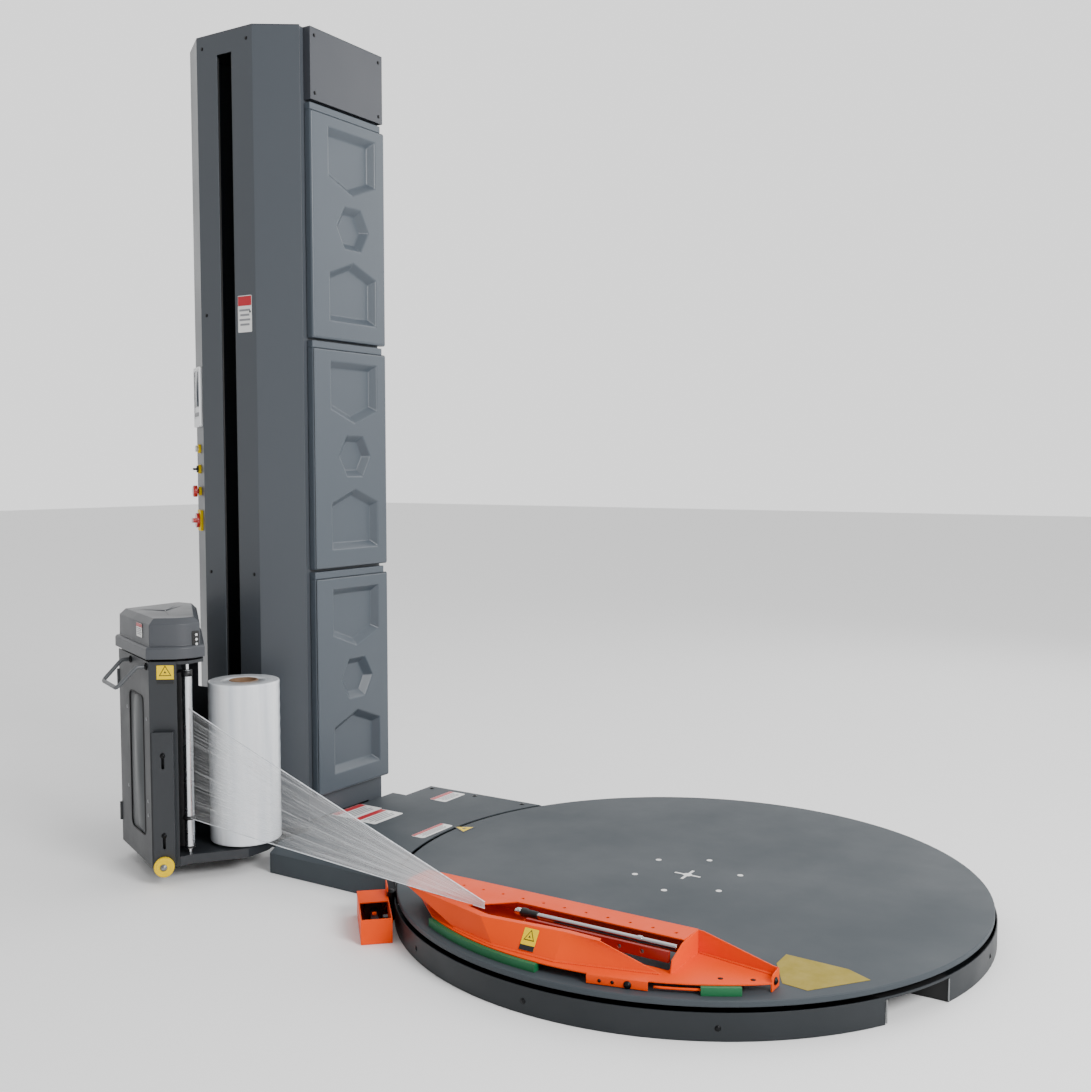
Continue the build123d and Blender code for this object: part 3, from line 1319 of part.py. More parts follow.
# ---------------------------------------------------------------- stretched film
web_end = (*clamp_point(-222.0, 154), clamp_top + 6)
web_height = film_width - 160
web_middle = tray_top + 108 + web_height / 2
with BuildPart() as film_web:
    run = (web_end[0] - idler_x, web_end[1] - idler_y)
    run_length = hypot(*run)
    start_plane = Plane(origin=(idler_x + run[1] / run_length * (idler_radius + 2),
                                idler_y - run[0] / run_length * (idler_radius + 2), web_middle),
                        x_dir=(run[1] / run_length, -run[0] / run_length, 0),
                        z_dir=(run[0], run[1], 0))
    with BuildSketch(start_plane):
        Rectangle(1, web_height)
    with BuildSketch(Plane(origin=web_end, x_dir=start_plane.x_dir, z_dir=start_plane.z_dir)):
        Rectangle(6, 8)
    loft(ruled=True)
film_web.part.label = "film_web"
export_step(film_web.part, "parts/film_web.step")
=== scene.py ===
"""Looks of the turntable pallet wrapper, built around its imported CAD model.

Lengths are in metres in the machine's own frame, unless a name ends in _mm.
"""

import logging
from dataclasses import dataclass, field
from enum import Enum
from math import cos, hypot, pi, radians, sin
from typing import Sequence

import bmesh
import bpy
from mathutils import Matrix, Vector


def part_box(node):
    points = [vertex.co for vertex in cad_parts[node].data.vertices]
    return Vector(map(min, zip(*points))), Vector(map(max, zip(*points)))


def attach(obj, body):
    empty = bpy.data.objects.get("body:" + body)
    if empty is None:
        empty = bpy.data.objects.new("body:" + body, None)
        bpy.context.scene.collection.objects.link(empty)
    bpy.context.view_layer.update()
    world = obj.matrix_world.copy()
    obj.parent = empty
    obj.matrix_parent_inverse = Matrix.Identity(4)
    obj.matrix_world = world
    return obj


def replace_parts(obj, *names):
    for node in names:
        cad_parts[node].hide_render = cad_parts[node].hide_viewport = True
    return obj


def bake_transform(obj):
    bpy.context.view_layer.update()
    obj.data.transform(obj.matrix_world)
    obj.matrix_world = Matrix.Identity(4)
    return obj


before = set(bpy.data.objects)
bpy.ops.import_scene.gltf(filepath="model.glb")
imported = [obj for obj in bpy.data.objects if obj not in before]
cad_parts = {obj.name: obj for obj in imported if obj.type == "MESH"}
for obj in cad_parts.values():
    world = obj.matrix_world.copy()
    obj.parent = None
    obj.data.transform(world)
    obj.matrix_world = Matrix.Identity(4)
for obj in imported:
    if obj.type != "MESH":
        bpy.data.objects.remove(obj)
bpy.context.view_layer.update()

log = logging.getLogger("pallet_wrapper")
logging.basicConfig(level=logging.INFO, format="%(message)s")

Point2 = tuple[float, float]
Point3 = tuple[float, float, float]

UP: Point3 = (0.0, 0.0, 1.0)
ACROSS: Point3 = (1.0, 0.0, 0.0)  # from the mast towards the table's free side
FRONT: Point3 = (0.0, -1.0, 0.0)  # towards the operator
BACK: Point3 = (0.0, 1.0, 0.0)


# ------------------------------------------------------------------ small helpers
def linear(code: str) -> tuple[float, float, float, float]:
    """Turns an sRGB hex colour to linear values.

    Args:
        code: six hex digits.

    Returns:
        Linear red, green and blue, and an alpha of 1.
    """
    shares = [int(code[i:i + 2], 16) / 255 for i in (0, 2, 4)]
    low = [c / 12.92 if c <= 0.04045 else ((c + 0.055) / 1.055) ** 2.4 for c in shares]
    return (low[0], low[1], low[2], 1.0)


def add(tree: bpy.types.NodeTree, kind: str, inputs: dict | None = None, **settings) -> bpy.types.Node:
    """Adds a node with its settings, and links or sets its inputs.

    Args:
        tree: the node tree that gets the node.
        kind: the node's type name.
        inputs: socket name or number to a value, or to another node's output.
        settings: the node's own properties.

    Returns:
        The new node.
    """
    node = tree.nodes.new(kind)
    for key, value in settings.items():
        setattr(node, key, value)
    for key, value in (inputs or {}).items():
        if isinstance(value, bpy.types.NodeSocket):
            tree.links.new(value, node.inputs[key])
        else:
            node.inputs[key].default_value = value
    return node


def blank_tree(owner: bpy.types.Material | bpy.types.World) -> bpy.types.NodeTree:
    """Turns a material's or world's nodes on and empties its tree."""
    owner.use_nodes = True
    owner.node_tree.nodes.clear()
    return owner.node_tree


def linked(name: str, data: bpy.types.ID) -> bpy.types.Object:
    """Makes an object with its data in the scene."""
    made = bpy.data.objects.new(name, data)
    bpy.context.scene.collection.objects.link(made)
    return made


def spread(tree: bpy.types.NodeTree, value: bpy.types.NodeSocket, low: float, high: float,
           to_low: float = 0.0, to_high: float = 1.0, **settings) -> bpy.types.NodeSocket:
    """Spreads a value's range low to high over to_low to to_high."""
    return add(tree, "ShaderNodeMapRange", {"Value": value, "From Min": low, "From Max": high,
                                            "To Min": to_low, "To Max": to_high}, **settings).outputs[0]


def mixed(tree: bpy.types.NodeTree, share: bpy.types.NodeSocket, first: object,
          second: object) -> bpy.types.NodeSocket:
    """Mixes two colours, each a value or another node's output."""
    mix = add(tree, "ShaderNodeMix", {"Factor": share, 6: first, 7: second}, data_type="RGBA")
    return mix.outputs[2]


def maths(tree: bpy.types.NodeTree, operation: str, *values, **settings) -> bpy.types.NodeSocket:
    """One arithmetic step on values or other nodes' outputs."""
    step = add(tree, "ShaderNodeMath", dict(enumerate(values)), operation=operation, **settings)
    return step.outputs[0]


def shaded(tree: bpy.types.NodeTree, inputs: dict) -> None:
    """Ends a material's tree with a principled shader that has these inputs."""
    shader = add(tree, "ShaderNodeBsdfPrincipled", inputs)
    add(tree, "ShaderNodeOutputMaterial", {"Surface": shader.outputs[0]})


def inset(points: Sequence[Point2], distance: float) -> list[Point2]:
    """Draws a closed anticlockwise outline in by a distance on every side.

    Args:
        points: the outline's corners.
        distance: how far in; a negative value grows the outline.

    Returns:
        The new corners, in the same order.
    """
    sides = []
    for (x1, y1), (x2, y2) in zip(points, [*points[1:], points[0]]):
        length = hypot(x2 - x1, y2 - y1)
        along = ((x2 - x1) / length, (y2 - y1) / length)
        sides.append(((x1 - along[1] * distance, y1 + along[0] * distance), along))
    corners = []
    for (p, d), (q, e) in zip([sides[-1], *sides[:-1]], sides):
        scale = ((q[0] - p[0]) * e[1] - (q[1] - p[1]) * e[0]) / (d[0] * e[1] - d[1] * e[0])
        corners.append((p[0] + d[0] * scale, p[1] + d[1] * scale))
    return corners


@dataclass(frozen=True)
class Seat:
    """A place on a surface: a point, the way to its right, and the way out of it."""

    origin: Point3
    right: Point3
    out: Point3

    def at(self, u: float, v: float, lift: float = 0.0) -> Vector:
        """A point u to the right, v up the surface and lift off it."""
        right, out = Vector(self.right).normalized(), Vector(self.out).normalized()
        return Vector(self.origin) + right * u + out.cross(right) * v + out * lift

    def moved(self, u: float, v: float, lift: float = 0.0) -> "Seat":
        """The same seat moved over its surface, or off it."""
        return Seat(tuple(self.at(u, v, lift)), self.right, self.out)


# ------------------------------------------------------------------ finishes
class Relief(Enum):
    """How a surface was made, which sets the grain that it shows."""

    POWDER = "powder coated"
    MOULDED = "moulded"
    TURNED = "turned"
    SMOOTH = "smooth"


@dataclass(frozen=True)
class Finish:
    """One real finish and how its shader is made."""

    name: str
    colour: str
    shade: str
    roughness: float
    relief: Relief
    grain_mm: float
    relief_mm: float = 0.15
    metallic: float = 0.0
    patch_mm: float = 180.0
    edge_mm: float = 1.5
    edge_colour: str = ""
    coat: float = 0.0
    specular: float = 0.5

    def grain_scale(self) -> Point3:
        """How far the grain is stretched along each axis; turning draws it around the axis."""
        return (0.05, 0.05, 1.0) if self.relief is Relief.TURNED else (1.0, 1.0, 1.0)

    def build(self) -> bpy.types.Material:
        """Builds the shader: mottled colour, worn edges, uneven gloss and fine grain.

        Returns:
            The material, made once and then reused.
        """
        known = bpy.data.materials.get(self.name)
        if known:
            return known
        made = bpy.data.materials.new(self.name)
        tree = blank_tree(made)
        place = add(tree, "ShaderNodeTexCoord").outputs["Object"]
        patches = add(tree, "ShaderNodeTexNoise",
                      {"Vector": place, "Scale": 1000 / self.patch_mm, "Detail": 5.0, "Roughness": 0.6})
        stretched = add(tree, "ShaderNodeMapping", {"Vector": place, "Scale": self.grain_scale()})
        grain = add(tree, "ShaderNodeTexNoise",
                    {"Vector": stretched.outputs[0], "Scale": 1000 / self.grain_mm, "Detail": 3.0})
        colour = mixed(tree, patches.outputs["Fac"], linear(self.colour), linear(self.shade))
        rounded = add(tree, "ShaderNodeBevel", {"Radius": self.edge_mm / 1000}, samples=4)
        if self.edge_colour:
            colour = self.worn_edges(tree, colour, rounded, grain)
        gloss = spread(tree, patches.outputs["Fac"], 0.3, 0.7, self.roughness * 0.86,
                       min(1.0, self.roughness * 1.16))
        bump = add(tree, "ShaderNodeBump",
                   {"Height": grain.outputs["Fac"], "Distance": self.relief_mm / 1000,
                    "Strength": 0.5, "Normal": rounded.outputs[0]})
        shaded(tree, {"Base Color": colour, "Roughness": gloss, "Metallic": self.metallic,
                      "Normal": bump.outputs[0], "Coat Weight": self.coat, "Coat Roughness": 0.12,
                      "Specular IOR Level": self.specular})
        return made

    def worn_edges(self, tree: bpy.types.NodeTree, colour: bpy.types.NodeSocket,
                   rounded: bpy.types.Node, grain: bpy.types.Node) -> bpy.types.NodeSocket:
        """Lightens the colour where the surface turns sharply, broken up by the grain.

        Args:
            tree: the material's node tree.
            colour: the colour so far.
            rounded: the node that gives the softened normal.
            grain: the noise that breaks the wear up.

        Returns:
            The colour with its wear.
        """
        facing = add(tree, "ShaderNodeNewGeometry").outputs["Normal"]
        match = add(tree, "ShaderNodeVectorMath", {0: rounded.outputs[0], 1: facing},
                    operation="DOT_PRODUCT")
        edge = spread(tree, match.outputs["Value"], 0.98, 0.80, 0.0, 0.55)
        broken = maths(tree, "MULTIPLY", edge, grain.outputs["Fac"])
        return mixed(tree, broken, colour, linear(self.edge_colour))


@dataclass(frozen=True)
class WebFilm:
    """Stretched polyethylene film: clear, with milky pulled streaks along its run."""

    name: str = "stretched_polyethylene_film"
    colour: str = "f1f3f5"
    clear: float = 0.05
    milky: float = 0.60

    def build(self) -> bpy.types.Material:
        """Builds the film's shader on the web's UV map, u along the run and v across it."""
        made = bpy.data.materials.new(self.name)
        tree = blank_tree(made)
        place = add(tree, "ShaderNodeUVMap", uv_map="run").outputs[0]
        parts = add(tree, "ShaderNodeSeparateXYZ", {0: place})
        pulled = add(tree, "ShaderNodeMapping", {"Vector": place, "Scale": (1.6, 34.0, 1.0)})
        streaks = add(tree, "ShaderNodeTexNoise", {"Vector": pulled.outputs[0], "Scale": 1.6,
                                                   "Detail": 6.0, "Roughness": 0.65, "Distortion": 0.4})
        sharp = spread(tree, streaks.outputs["Fac"], 0.47, 0.72)
        # the film gathers towards the clamp, so it turns milky there
        gathered = spread(tree, parts.outputs["X"], 0.0, 1.0, 0.30, 1.0)
        milk = maths(tree, "MULTIPLY", sharp, gathered)
        base = spread(tree, parts.outputs["X"], 0.35, 1.0, self.clear, 0.50)
        cover = maths(tree, "MULTIPLY_ADD", milk, self.milky, base, use_clamp=True)
        bump = add(tree, "ShaderNodeBump", {"Height": streaks.outputs["Fac"], "Distance": 0.002,
                                            "Strength": 0.6})
        shaded(tree, {"Base Color": linear(self.colour), "Roughness": 0.22, "Alpha": cover,
                      "Normal": bump.outputs[0], "Specular IOR Level": 0.6})
        return made


@dataclass(frozen=True)
class WoundFilm:
    """Film wound on its core: milky and glossy, with faint rings on the ends and painted highlight
    streaks down the side.
    """

    name: str
    axis: Point2
    colour: str = "f6f8fa"
    shade: str = "cfd5dc"
    layer_mm: float = 9.0
    roughness: float = 0.24

    def build(self) -> bpy.types.Material:
        """Builds the shader; the real layers are far too fine to show, so they are drawn coarse, and
        the vertical streaks on the side are painted highlights and shade.
        """
        made = bpy.data.materials.new(self.name)
        tree = blank_tree(made)
        place = add(tree, "ShaderNodeTexCoord").outputs["Object"]
        centred = add(tree, "ShaderNodeMapping", {"Vector": place,
                                                  "Location": (-self.axis[0], -self.axis[1], 0.0)})
        flat = add(tree, "ShaderNodeVectorMath", {0: centred.outputs[0], 1: (1.0, 1.0, 0.0)},
                   operation="MULTIPLY")
        radius = add(tree, "ShaderNodeVectorMath", {0: flat.outputs[0]}, operation="LENGTH")
        rings = add(tree, "ShaderNodeTexNoise", {"W": radius.outputs["Value"], "Detail": 4.0,
                                                 "Scale": 1000 / self.layer_mm}, noise_dimensions="1D")
        # noise stretched up the axis paints lighter and darker vertical streaks on the side: painted
        # highlights and shade
        around = add(tree, "ShaderNodeMapping", {"Vector": centred.outputs[0],
                                                 "Scale": (1.0, 1.0, 0.05)})
        painted_sheen_streaks = add(tree, "ShaderNodeTexNoise", {"Vector": around.outputs[0], "Scale": 34.0,
                                                 "Detail": 5.0, "Distortion": 0.3})
        both = maths(tree, "MULTIPLY", rings.outputs["Fac"], painted_sheen_streaks.outputs["Fac"])
        share = spread(tree, both, 0.14, 0.38)
        bump = add(tree, "ShaderNodeBump", {"Height": both, "Distance": 0.0015, "Strength": 0.5})
        # the colour mixes the drawn layer rings on the ends with the painted highlight streaks on the
        # side
        shaded(tree, {"Base Color": mixed(tree, share, linear(self.shade), linear(self.colour)),
                      "Roughness": self.roughness, "Normal": bump.outputs[0],
                      "Subsurface Weight": 0.25, "Subsurface Radius": (0.02, 0.02, 0.02),
                      "Coat Weight": 0.7, "Coat Roughness": 0.10})
        return made


# Polyester powder coat: an orange-peel texture, drawn coarser than its real 0.5 mm to show.
FRAME_COAT = Finish("frame_powder_coat", "24282c", "1e2225", 0.48, Relief.POWDER, 3.0, 0.10,
                    edge_mm=2.0, edge_colour="4a4f53", specular=0.3)
TABLE_COAT = Finish("table_powder_coat", "41474c", "3b4146", 0.55, Relief.POWDER, 3.0, 0.08,
                    patch_mm=420.0, edge_mm=2.0, edge_colour="5f6468", specular=0.22)
MAST_COAT = Finish("mast_powder_coat", "484d53", "43484e", 0.40, Relief.POWDER, 3.0, 0.08,
                   patch_mm=500.0, edge_mm=2.0, edge_colour="62666b")
HEAD_COAT = Finish("head_powder_coat", "3b3e44", "363940", 0.40, Relief.POWDER, 3.0, 0.08,
                   patch_mm=500.0, edge_mm=2.0, edge_colour="62666b")
CASING_COAT = Finish("casing_powder_coat", "2b2e32", "26292d", 0.45, Relief.POWDER, 2.5, 0.10,
                     edge_mm=2.0, edge_colour="4c5054")
HANDLE_COAT = Finish("handle_powder_coat", "54575a", "4c4f52", 0.42, Relief.POWDER, 2.5, 0.08)
# Near-black coat for hollows: painted shade in the fork pockets' openings and inside the mast.
INNER_PAINTED_SHADE = Finish("inner_painted_shade_black", "0b0b0c", "070708", 0.6, Relief.POWDER, 3.0, 0.1)
# Injection-moulded ABS: satin with soft corners and a fine spark-eroded grain.
PANEL_ABS = Finish("moulded_abs_panel", "4a525a", "454d55", 0.38, Relief.MOULDED, 2.4, 0.05,
                   patch_mm=600.0, edge_mm=2.5)
HOOD_ABS = Finish("moulded_abs_hood", "44474c", "3f4247", 0.42, Relief.MOULDED, 2.2, 0.06,
                  edge_mm=3.0)
# Wet orange machine paint: brighter than powder coat, with chipped paler edges.
ORANGE_PAINT = Finish("orange_machine_paint", "f04c04", "e64403", 0.40, Relief.POWDER, 4.0, 0.10,
                      patch_mm=140.0, edge_mm=2.0, edge_colour="f27a45", specular=0.12)
RED_PAINT = Finish("dark_red_paint", "9c1d12", "86170e", 0.42, Relief.POWDER, 4.0, 0.1,
                   edge_mm=2.0, edge_colour="c8503c")
CHROME_ROD = Finish("hard_chrome_rod", "d7d9db", "c6c9cc", 0.14, Relief.TURNED, 2.0, 0.02,
                    metallic=1.0)
ZINC = Finish("zinc_plated_steel", "9a9c9d", "868889", 0.34, Relief.SMOOTH, 4.0, 0.04,
              metallic=1.0, patch_mm=30.0)
BLACK_BOLT = Finish("black_oxide_steel", "17181a", "101113", 0.38, Relief.SMOOTH, 3.0, 0.04,
                    metallic=0.7)
ALUMINIUM = Finish("turned_aluminium", "e4e6e8", "d4d7da", 0.26, Relief.TURNED, 6.0, 0.004,
                   edge_mm=0.4, metallic=1.0)
MOTOR_PAINT = Finish("cast_housing_paint", "4d5358", "43484d", 0.5, Relief.POWDER, 2.5, 0.25)
GREEN_RUBBER = Finish("green_bumper_rubber", "0c6a3c", "0a5732", 0.55, Relief.MOULDED, 3.0, 0.1)
BLACK_RUBBER = Finish("black_roller_rubber", "1b1b1c", "141415", 0.62, Relief.MOULDED, 2.0, 0.12)
BLACK_NYLON = Finish("black_nylon", "161718", "101011", 0.42, Relief.MOULDED, 2.0, 0.08)
SHOE_NYLON = Finish("cast_nylon", "cfcabb", "c2bdad", 0.5, Relief.MOULDED, 2.5, 0.05)
YELLOW_NYLON = Finish("yellow_nylon", "f7d400", "efc800", 0.46, Relief.MOULDED, 2.5, 0.05,
                      specular=0.15)
RED_CAP = Finish("red_polycarbonate", "c3150f", "ae110c", 0.24, Relief.MOULDED, 2.5, 0.03, coat=0.3)
WHITE_ABS = Finish("white_abs", "dfe1e2", "d3d5d7", 0.34, Relief.MOULDED, 2.5, 0.04)
WINDOW_PANE = Finish("smoked_acrylic_pane", "55585a", "4d5052", 0.34, Relief.SMOOTH, 6.0, 0.01)
DISPLAY = Finish("display_glass", "1c2a3c", "162233", 0.08, Relief.SMOOTH, 6.0, 0.01, coat=0.6)
CARDBOARD = Finish("spiral_cardboard", "7d6148", "6a503a", 0.85, Relief.MOULDED, 3.5, 0.3,
                   patch_mm=18.0)
# Printed vinyl: flat, slightly glossy colour with a barely uneven surface.
VINYL_WHITE = Finish("printed_vinyl_white", "e8e8e6", "dededc", 0.34, Relief.SMOOTH, 5.0, 0.02)
VINYL_RED = Finish("printed_vinyl_red", "c22632", "b01f2b", 0.34, Relief.SMOOTH, 5.0, 0.02)
VINYL_YELLOW = Finish("printed_vinyl_yellow", "f4d200", "ecc600", 0.42, Relief.SMOOTH, 5.0, 0.02,
                      specular=0.15)
VINYL_BLACK = Finish("printed_vinyl_black", "17181a", "121315", 0.34, Relief.SMOOTH, 5.0, 0.02)
VINYL_GREY = Finish("printed_vinyl_grey", "8e9093", "85878a", 0.34, Relief.SMOOTH, 5.0, 0.02)
FLOOR_PAINT = Finish("yellow_floor_paint", "9c8800", "806f00", 0.6, Relief.POWDER, 5.0, 0.15,
                     patch_mm=45.0)


# ------------------------------------------------------------------ making pieces
AnyFinish = Finish | WebFilm | WoundFilm


def finish_piece(piece: bpy.types.Object, body: str | None, finish: AnyFinish,
                 bevel_mm: float = 0.0, smooth: bool = True) -> bpy.types.Object:
    """Gives a piece its material, soft edges and body.

    Args:
        piece: the mesh object, at the origin.
        body: the CAD body that it rides on, or None for a piece that is left unattached.
        finish: its finish.
        bevel_mm: the width of its edge rounding, or 0 for none.
        smooth: whether its faces are shaded smooth.

    Returns:
        The same piece.
    """
    piece.data.materials.clear()
    piece.data.materials.append(finish.build())
    if smooth:
        piece.data.polygons.foreach_set("use_smooth", [True] * len(piece.data.polygons))
    if bevel_mm:
        bevel = piece.modifiers.new("soft_edges", "BEVEL")
        bevel.width, bevel.segments = bevel_mm / 1000, 3
        bevel.limit_method, bevel.angle_limit = "ANGLE", radians(28)
        bevel.harden_normals = True
    if body:
        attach(piece, body)
    return piece


@dataclass
class Shape:
    """One piece's mesh while it is put together from closed skins."""

    bm: bmesh.types.BMesh = field(default_factory=bmesh.new)

    def skin(self, rings: Sequence[Sequence[Vector]], closed: bool = False) -> "Shape":
        """Adds a closed skin through rings of equally many points.

        Args:
            rings: the rings, in order.
            closed: whether the last ring meets the first, instead of both being filled.

        Returns:
            This shape.
        """
        made = [[self.bm.verts.new(p) for p in ring] for ring in rings]
        if closed:
            made.append([self.bm.verts.new(p) for p in rings[0]])
        for low, high in zip(made, made[1:]):
            for i in range(len(low)):
                j = (i + 1) % len(low)
                self.bm.faces.new((low[i], low[j], high[j], high[i]))
        if not closed:
            self.bm.faces.new(made[0][::-1])
            self.bm.faces.new(made[-1])
        return self

    def plate(self, seat: Seat, outline: Sequence[Point2], thickness: float,
              lift: float = 0.0) -> "Shape":
        """Adds a flat plate with an outline drawn on a seat.

        Args:
            seat: the surface that it lies on.
            outline: its corners on the surface, anticlockwise.
            thickness: how thick it is.
            lift: how far its underside is off the surface.

        Returns:
            This shape.
        """
        return self.skin([[seat.at(u, v, lift + h) for u, v in outline] for h in (0.0, thickness)])

    def turned(self, seat: Seat, profile: Sequence[Point2], steps: int = 48,
               closed: bool = False) -> "Shape":
        """Adds a turned shape about a seat's outward axis.

        Args:
            seat: where its axis starts and which way it points.
            profile: radius and height of each ring, from one end to the other.
            steps: how many points a ring has.
            closed: whether the profile is a closed loop, which leaves a bore.

        Returns:
            This shape.
        """
        return self.skin([[seat.at(u, v, height) for u, v in round_outline(radius, steps)]
                          for radius, height in profile], closed)

    def bar(self, path: Sequence[Vector], radius: float, steps: int = 8) -> "Shape":
        """Adds a round bar along a path, with flat ends."""
        return self.skin(tube_rings(path, radius, steps))

    def hoop(self, path: Sequence[Vector], radius: float, steps: int = 8) -> "Shape":
        """Adds a round bar around a closed path."""
        return self.skin(tube_rings([*path, path[0]], radius, steps)[:-1], closed=True)

    def piece(self, name: str, body: str | None, finish: AnyFinish, slot: str,
              bevel_mm: float = 0.0, smooth: bool = True) -> bpy.types.Object:
        """Turns the mesh to a finished object with its faces pointing outwards.

        Args:
            name: the piece's name.
            body: the CAD body that it rides on, or None for a piece that is left unattached.
            finish: its finish.
            slot: the record's material slot, or empty for printed vinyl, which has none; not used.
            bevel_mm: the width of its edge rounding, or 0 for none.
            smooth: whether its faces are shaded smooth.

        Returns:
            The new object, at the origin.
        """
        bmesh.ops.remove_doubles(self.bm, verts=self.bm.verts, dist=1e-6)
        bmesh.ops.recalc_face_normals(self.bm, faces=self.bm.faces)
        data = bpy.data.meshes.new(name)
        self.bm.to_mesh(data)
        self.bm.free()
        return finish_piece(linked(name, data), body, finish, bevel_mm, smooth)


def rectangle(width: float, height: float, middle: Point2 = (0.0, 0.0)) -> list[Point2]:
    """The corners of a rectangle about a point, anticlockwise."""
    return [(middle[0] + u * width / 2, middle[1] + v * height / 2)
            for u, v in ((-1, -1), (1, -1), (1, 1), (-1, 1))]


def rounded(width: float, height: float, radius: float, steps: int = 5) -> list[Point2]:
    """The outline of a rectangle with round corners, about its centre, anticlockwise."""
    corners = []
    for quarter, (u, v) in enumerate(((1, 1), (-1, 1), (-1, -1), (1, -1))):
        for step in range(steps + 1):
            turn = radians(90 * quarter + 90 * step / steps)
            corners.append((u * (width / 2 - radius) + radius * cos(turn),
                            v * (height / 2 - radius) + radius * sin(turn)))
    return corners


def round_outline(radius: float, steps: int = 32, middle: Point2 = (0.0, 0.0)) -> list[Point2]:
    """A circle as an outline, anticlockwise."""
    return [(middle[0] + radius * cos(2 * pi * i / steps), middle[1] + radius * sin(2 * pi * i / steps))
            for i in range(steps)]


def tube_rings(path: Sequence[Vector], radius: float, steps: int = 10) -> list[list[Vector]]:
    """Rings of a round bar along a path, each square to it.

    Args:
        path: the bar's centre line.
        radius: the bar's radius.
        steps: how many points a ring has.

    Returns:
        The rings, in order.
    """
    rings = []
    side = (path[1] - path[0]).orthogonal().normalized()
    for i, point in enumerate(path):
        ahead = (path[min(i + 1, len(path) - 1)] - path[max(i - 1, 0)]).normalized()
        side = (side - ahead * side.dot(ahead)).normalized()
        across = ahead.cross(side)
        turns = [2 * pi * k / steps for k in range(steps)]
        rings.append([point + (side * cos(turn) + across * sin(turn)) * radius for turn in turns])
    return rings


def dress(finish: Finish, *nodes: str) -> None:
    """Gives carried-over CAD nodes a finish."""
    for name in nodes:
        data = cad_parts[name].data
        data.materials.clear()
        data.materials.append(finish.build())


# ------------------------------------------------------------------ repeated fasteners
class StudKind(Enum):
    """What a set of small repeated shapes is."""

    SCREW = "screw"
    BEAD = "weld_bead"


# Each fastener or weld bead: the radius and height of its head, and its washer's radius.
SKIRT_SCREW = (0.005, 0.0025, 0.007)
BRIDGE_SCREW = (0.006, 0.0028, 0.009)
COVER_SCREW = (0.0042, 0.002, 0.0058)
DOOR_SCREW = (0.0040, 0.0022, 0.0055)
GUARD_BOLT = (0.0055, 0.003, 0.0078)
LUG_SCREW = (0.0035, 0.0022, 0.0042)
CLAMP_BOLT = (0.0075, 0.006, 0.0090)
TAIL_SCREW = (0.0045, 0.0015, 0.0060)
WELD_BEAD = (0.0042, 0.0026, 0.0)
STUD_SIZES = ("Head Radius", "Head Height", "Washer Radius")


def stud_tree(kind: StudKind) -> bpy.types.GeometryNodeTree:
    """Builds the tree that sets a screw head or a weld bead on every point.

    Args:
        kind: a screw head stands on a washer, and a weld bead has none.

    Returns:
        The tree, with inputs Head Radius, Head Height, Washer Radius and Finish.
    """
    name = "set_" + kind.value
    if name in bpy.data.node_groups:
        return bpy.data.node_groups[name]
    tree = bpy.data.node_groups.new(name, "GeometryNodeTree")
    face = tree.interface
    face.new_socket("Points", in_out="INPUT", socket_type="NodeSocketGeometry")
    for label in STUD_SIZES:
        face.new_socket(label, in_out="INPUT", socket_type="NodeSocketFloat")
    face.new_socket("Finish", in_out="INPUT", socket_type="NodeSocketMaterial")
    face.new_socket("Geometry", in_out="OUTPUT", socket_type="NodeSocketGeometry")
    given = add(tree, "NodeGroupInput")
    ball = add(tree, "GeometryNodeMeshUVSphere", {"Segments": 12, "Rings": 6,
                                                  "Radius": given.outputs["Head Radius"]})
    flat = maths(tree, "DIVIDE", given.outputs["Head Height"], given.outputs["Head Radius"])
    squeeze = add(tree, "ShaderNodeCombineXYZ", {0: 1.0, 1: 1.0, 2: flat})
    shape = add(tree, "GeometryNodeTransform", {"Geometry": ball.outputs["Mesh"],
                                                "Scale": squeeze.outputs[0]}).outputs[0]
    if kind is StudKind.SCREW:
        washer = add(tree, "GeometryNodeMeshCylinder",
                     {"Vertices": 20, "Radius": given.outputs["Washer Radius"],
                      "Depth": maths(tree, "MULTIPLY", given.outputs["Head Height"], 0.5)})
        joined = add(tree, "GeometryNodeJoinGeometry")
        tree.links.new(shape, joined.inputs[0])
        tree.links.new(washer.outputs["Mesh"], joined.inputs[0])
        shape = joined.outputs[0]
    facing = add(tree, "GeometryNodeInputNamedAttribute", {"Name": "facing"}, data_type="FLOAT_VECTOR")
    turn = add(tree, "FunctionNodeAlignRotationToVector", {"Vector": facing.outputs["Attribute"]},
               axis="Z")
    each = add(tree, "GeometryNodeInstanceOnPoints", {"Points": given.outputs["Points"],
                                                      "Instance": shape, "Rotation": turn.outputs[0]})
    real = add(tree, "GeometryNodeRealizeInstances", {0: each.outputs[0]})
    coated = add(tree, "GeometryNodeSetMaterial", {"Geometry": real.outputs[0],
                                                   "Material": given.outputs["Finish"]})
    add(tree, "NodeGroupOutput", {0: coated.outputs[0]})
    return tree


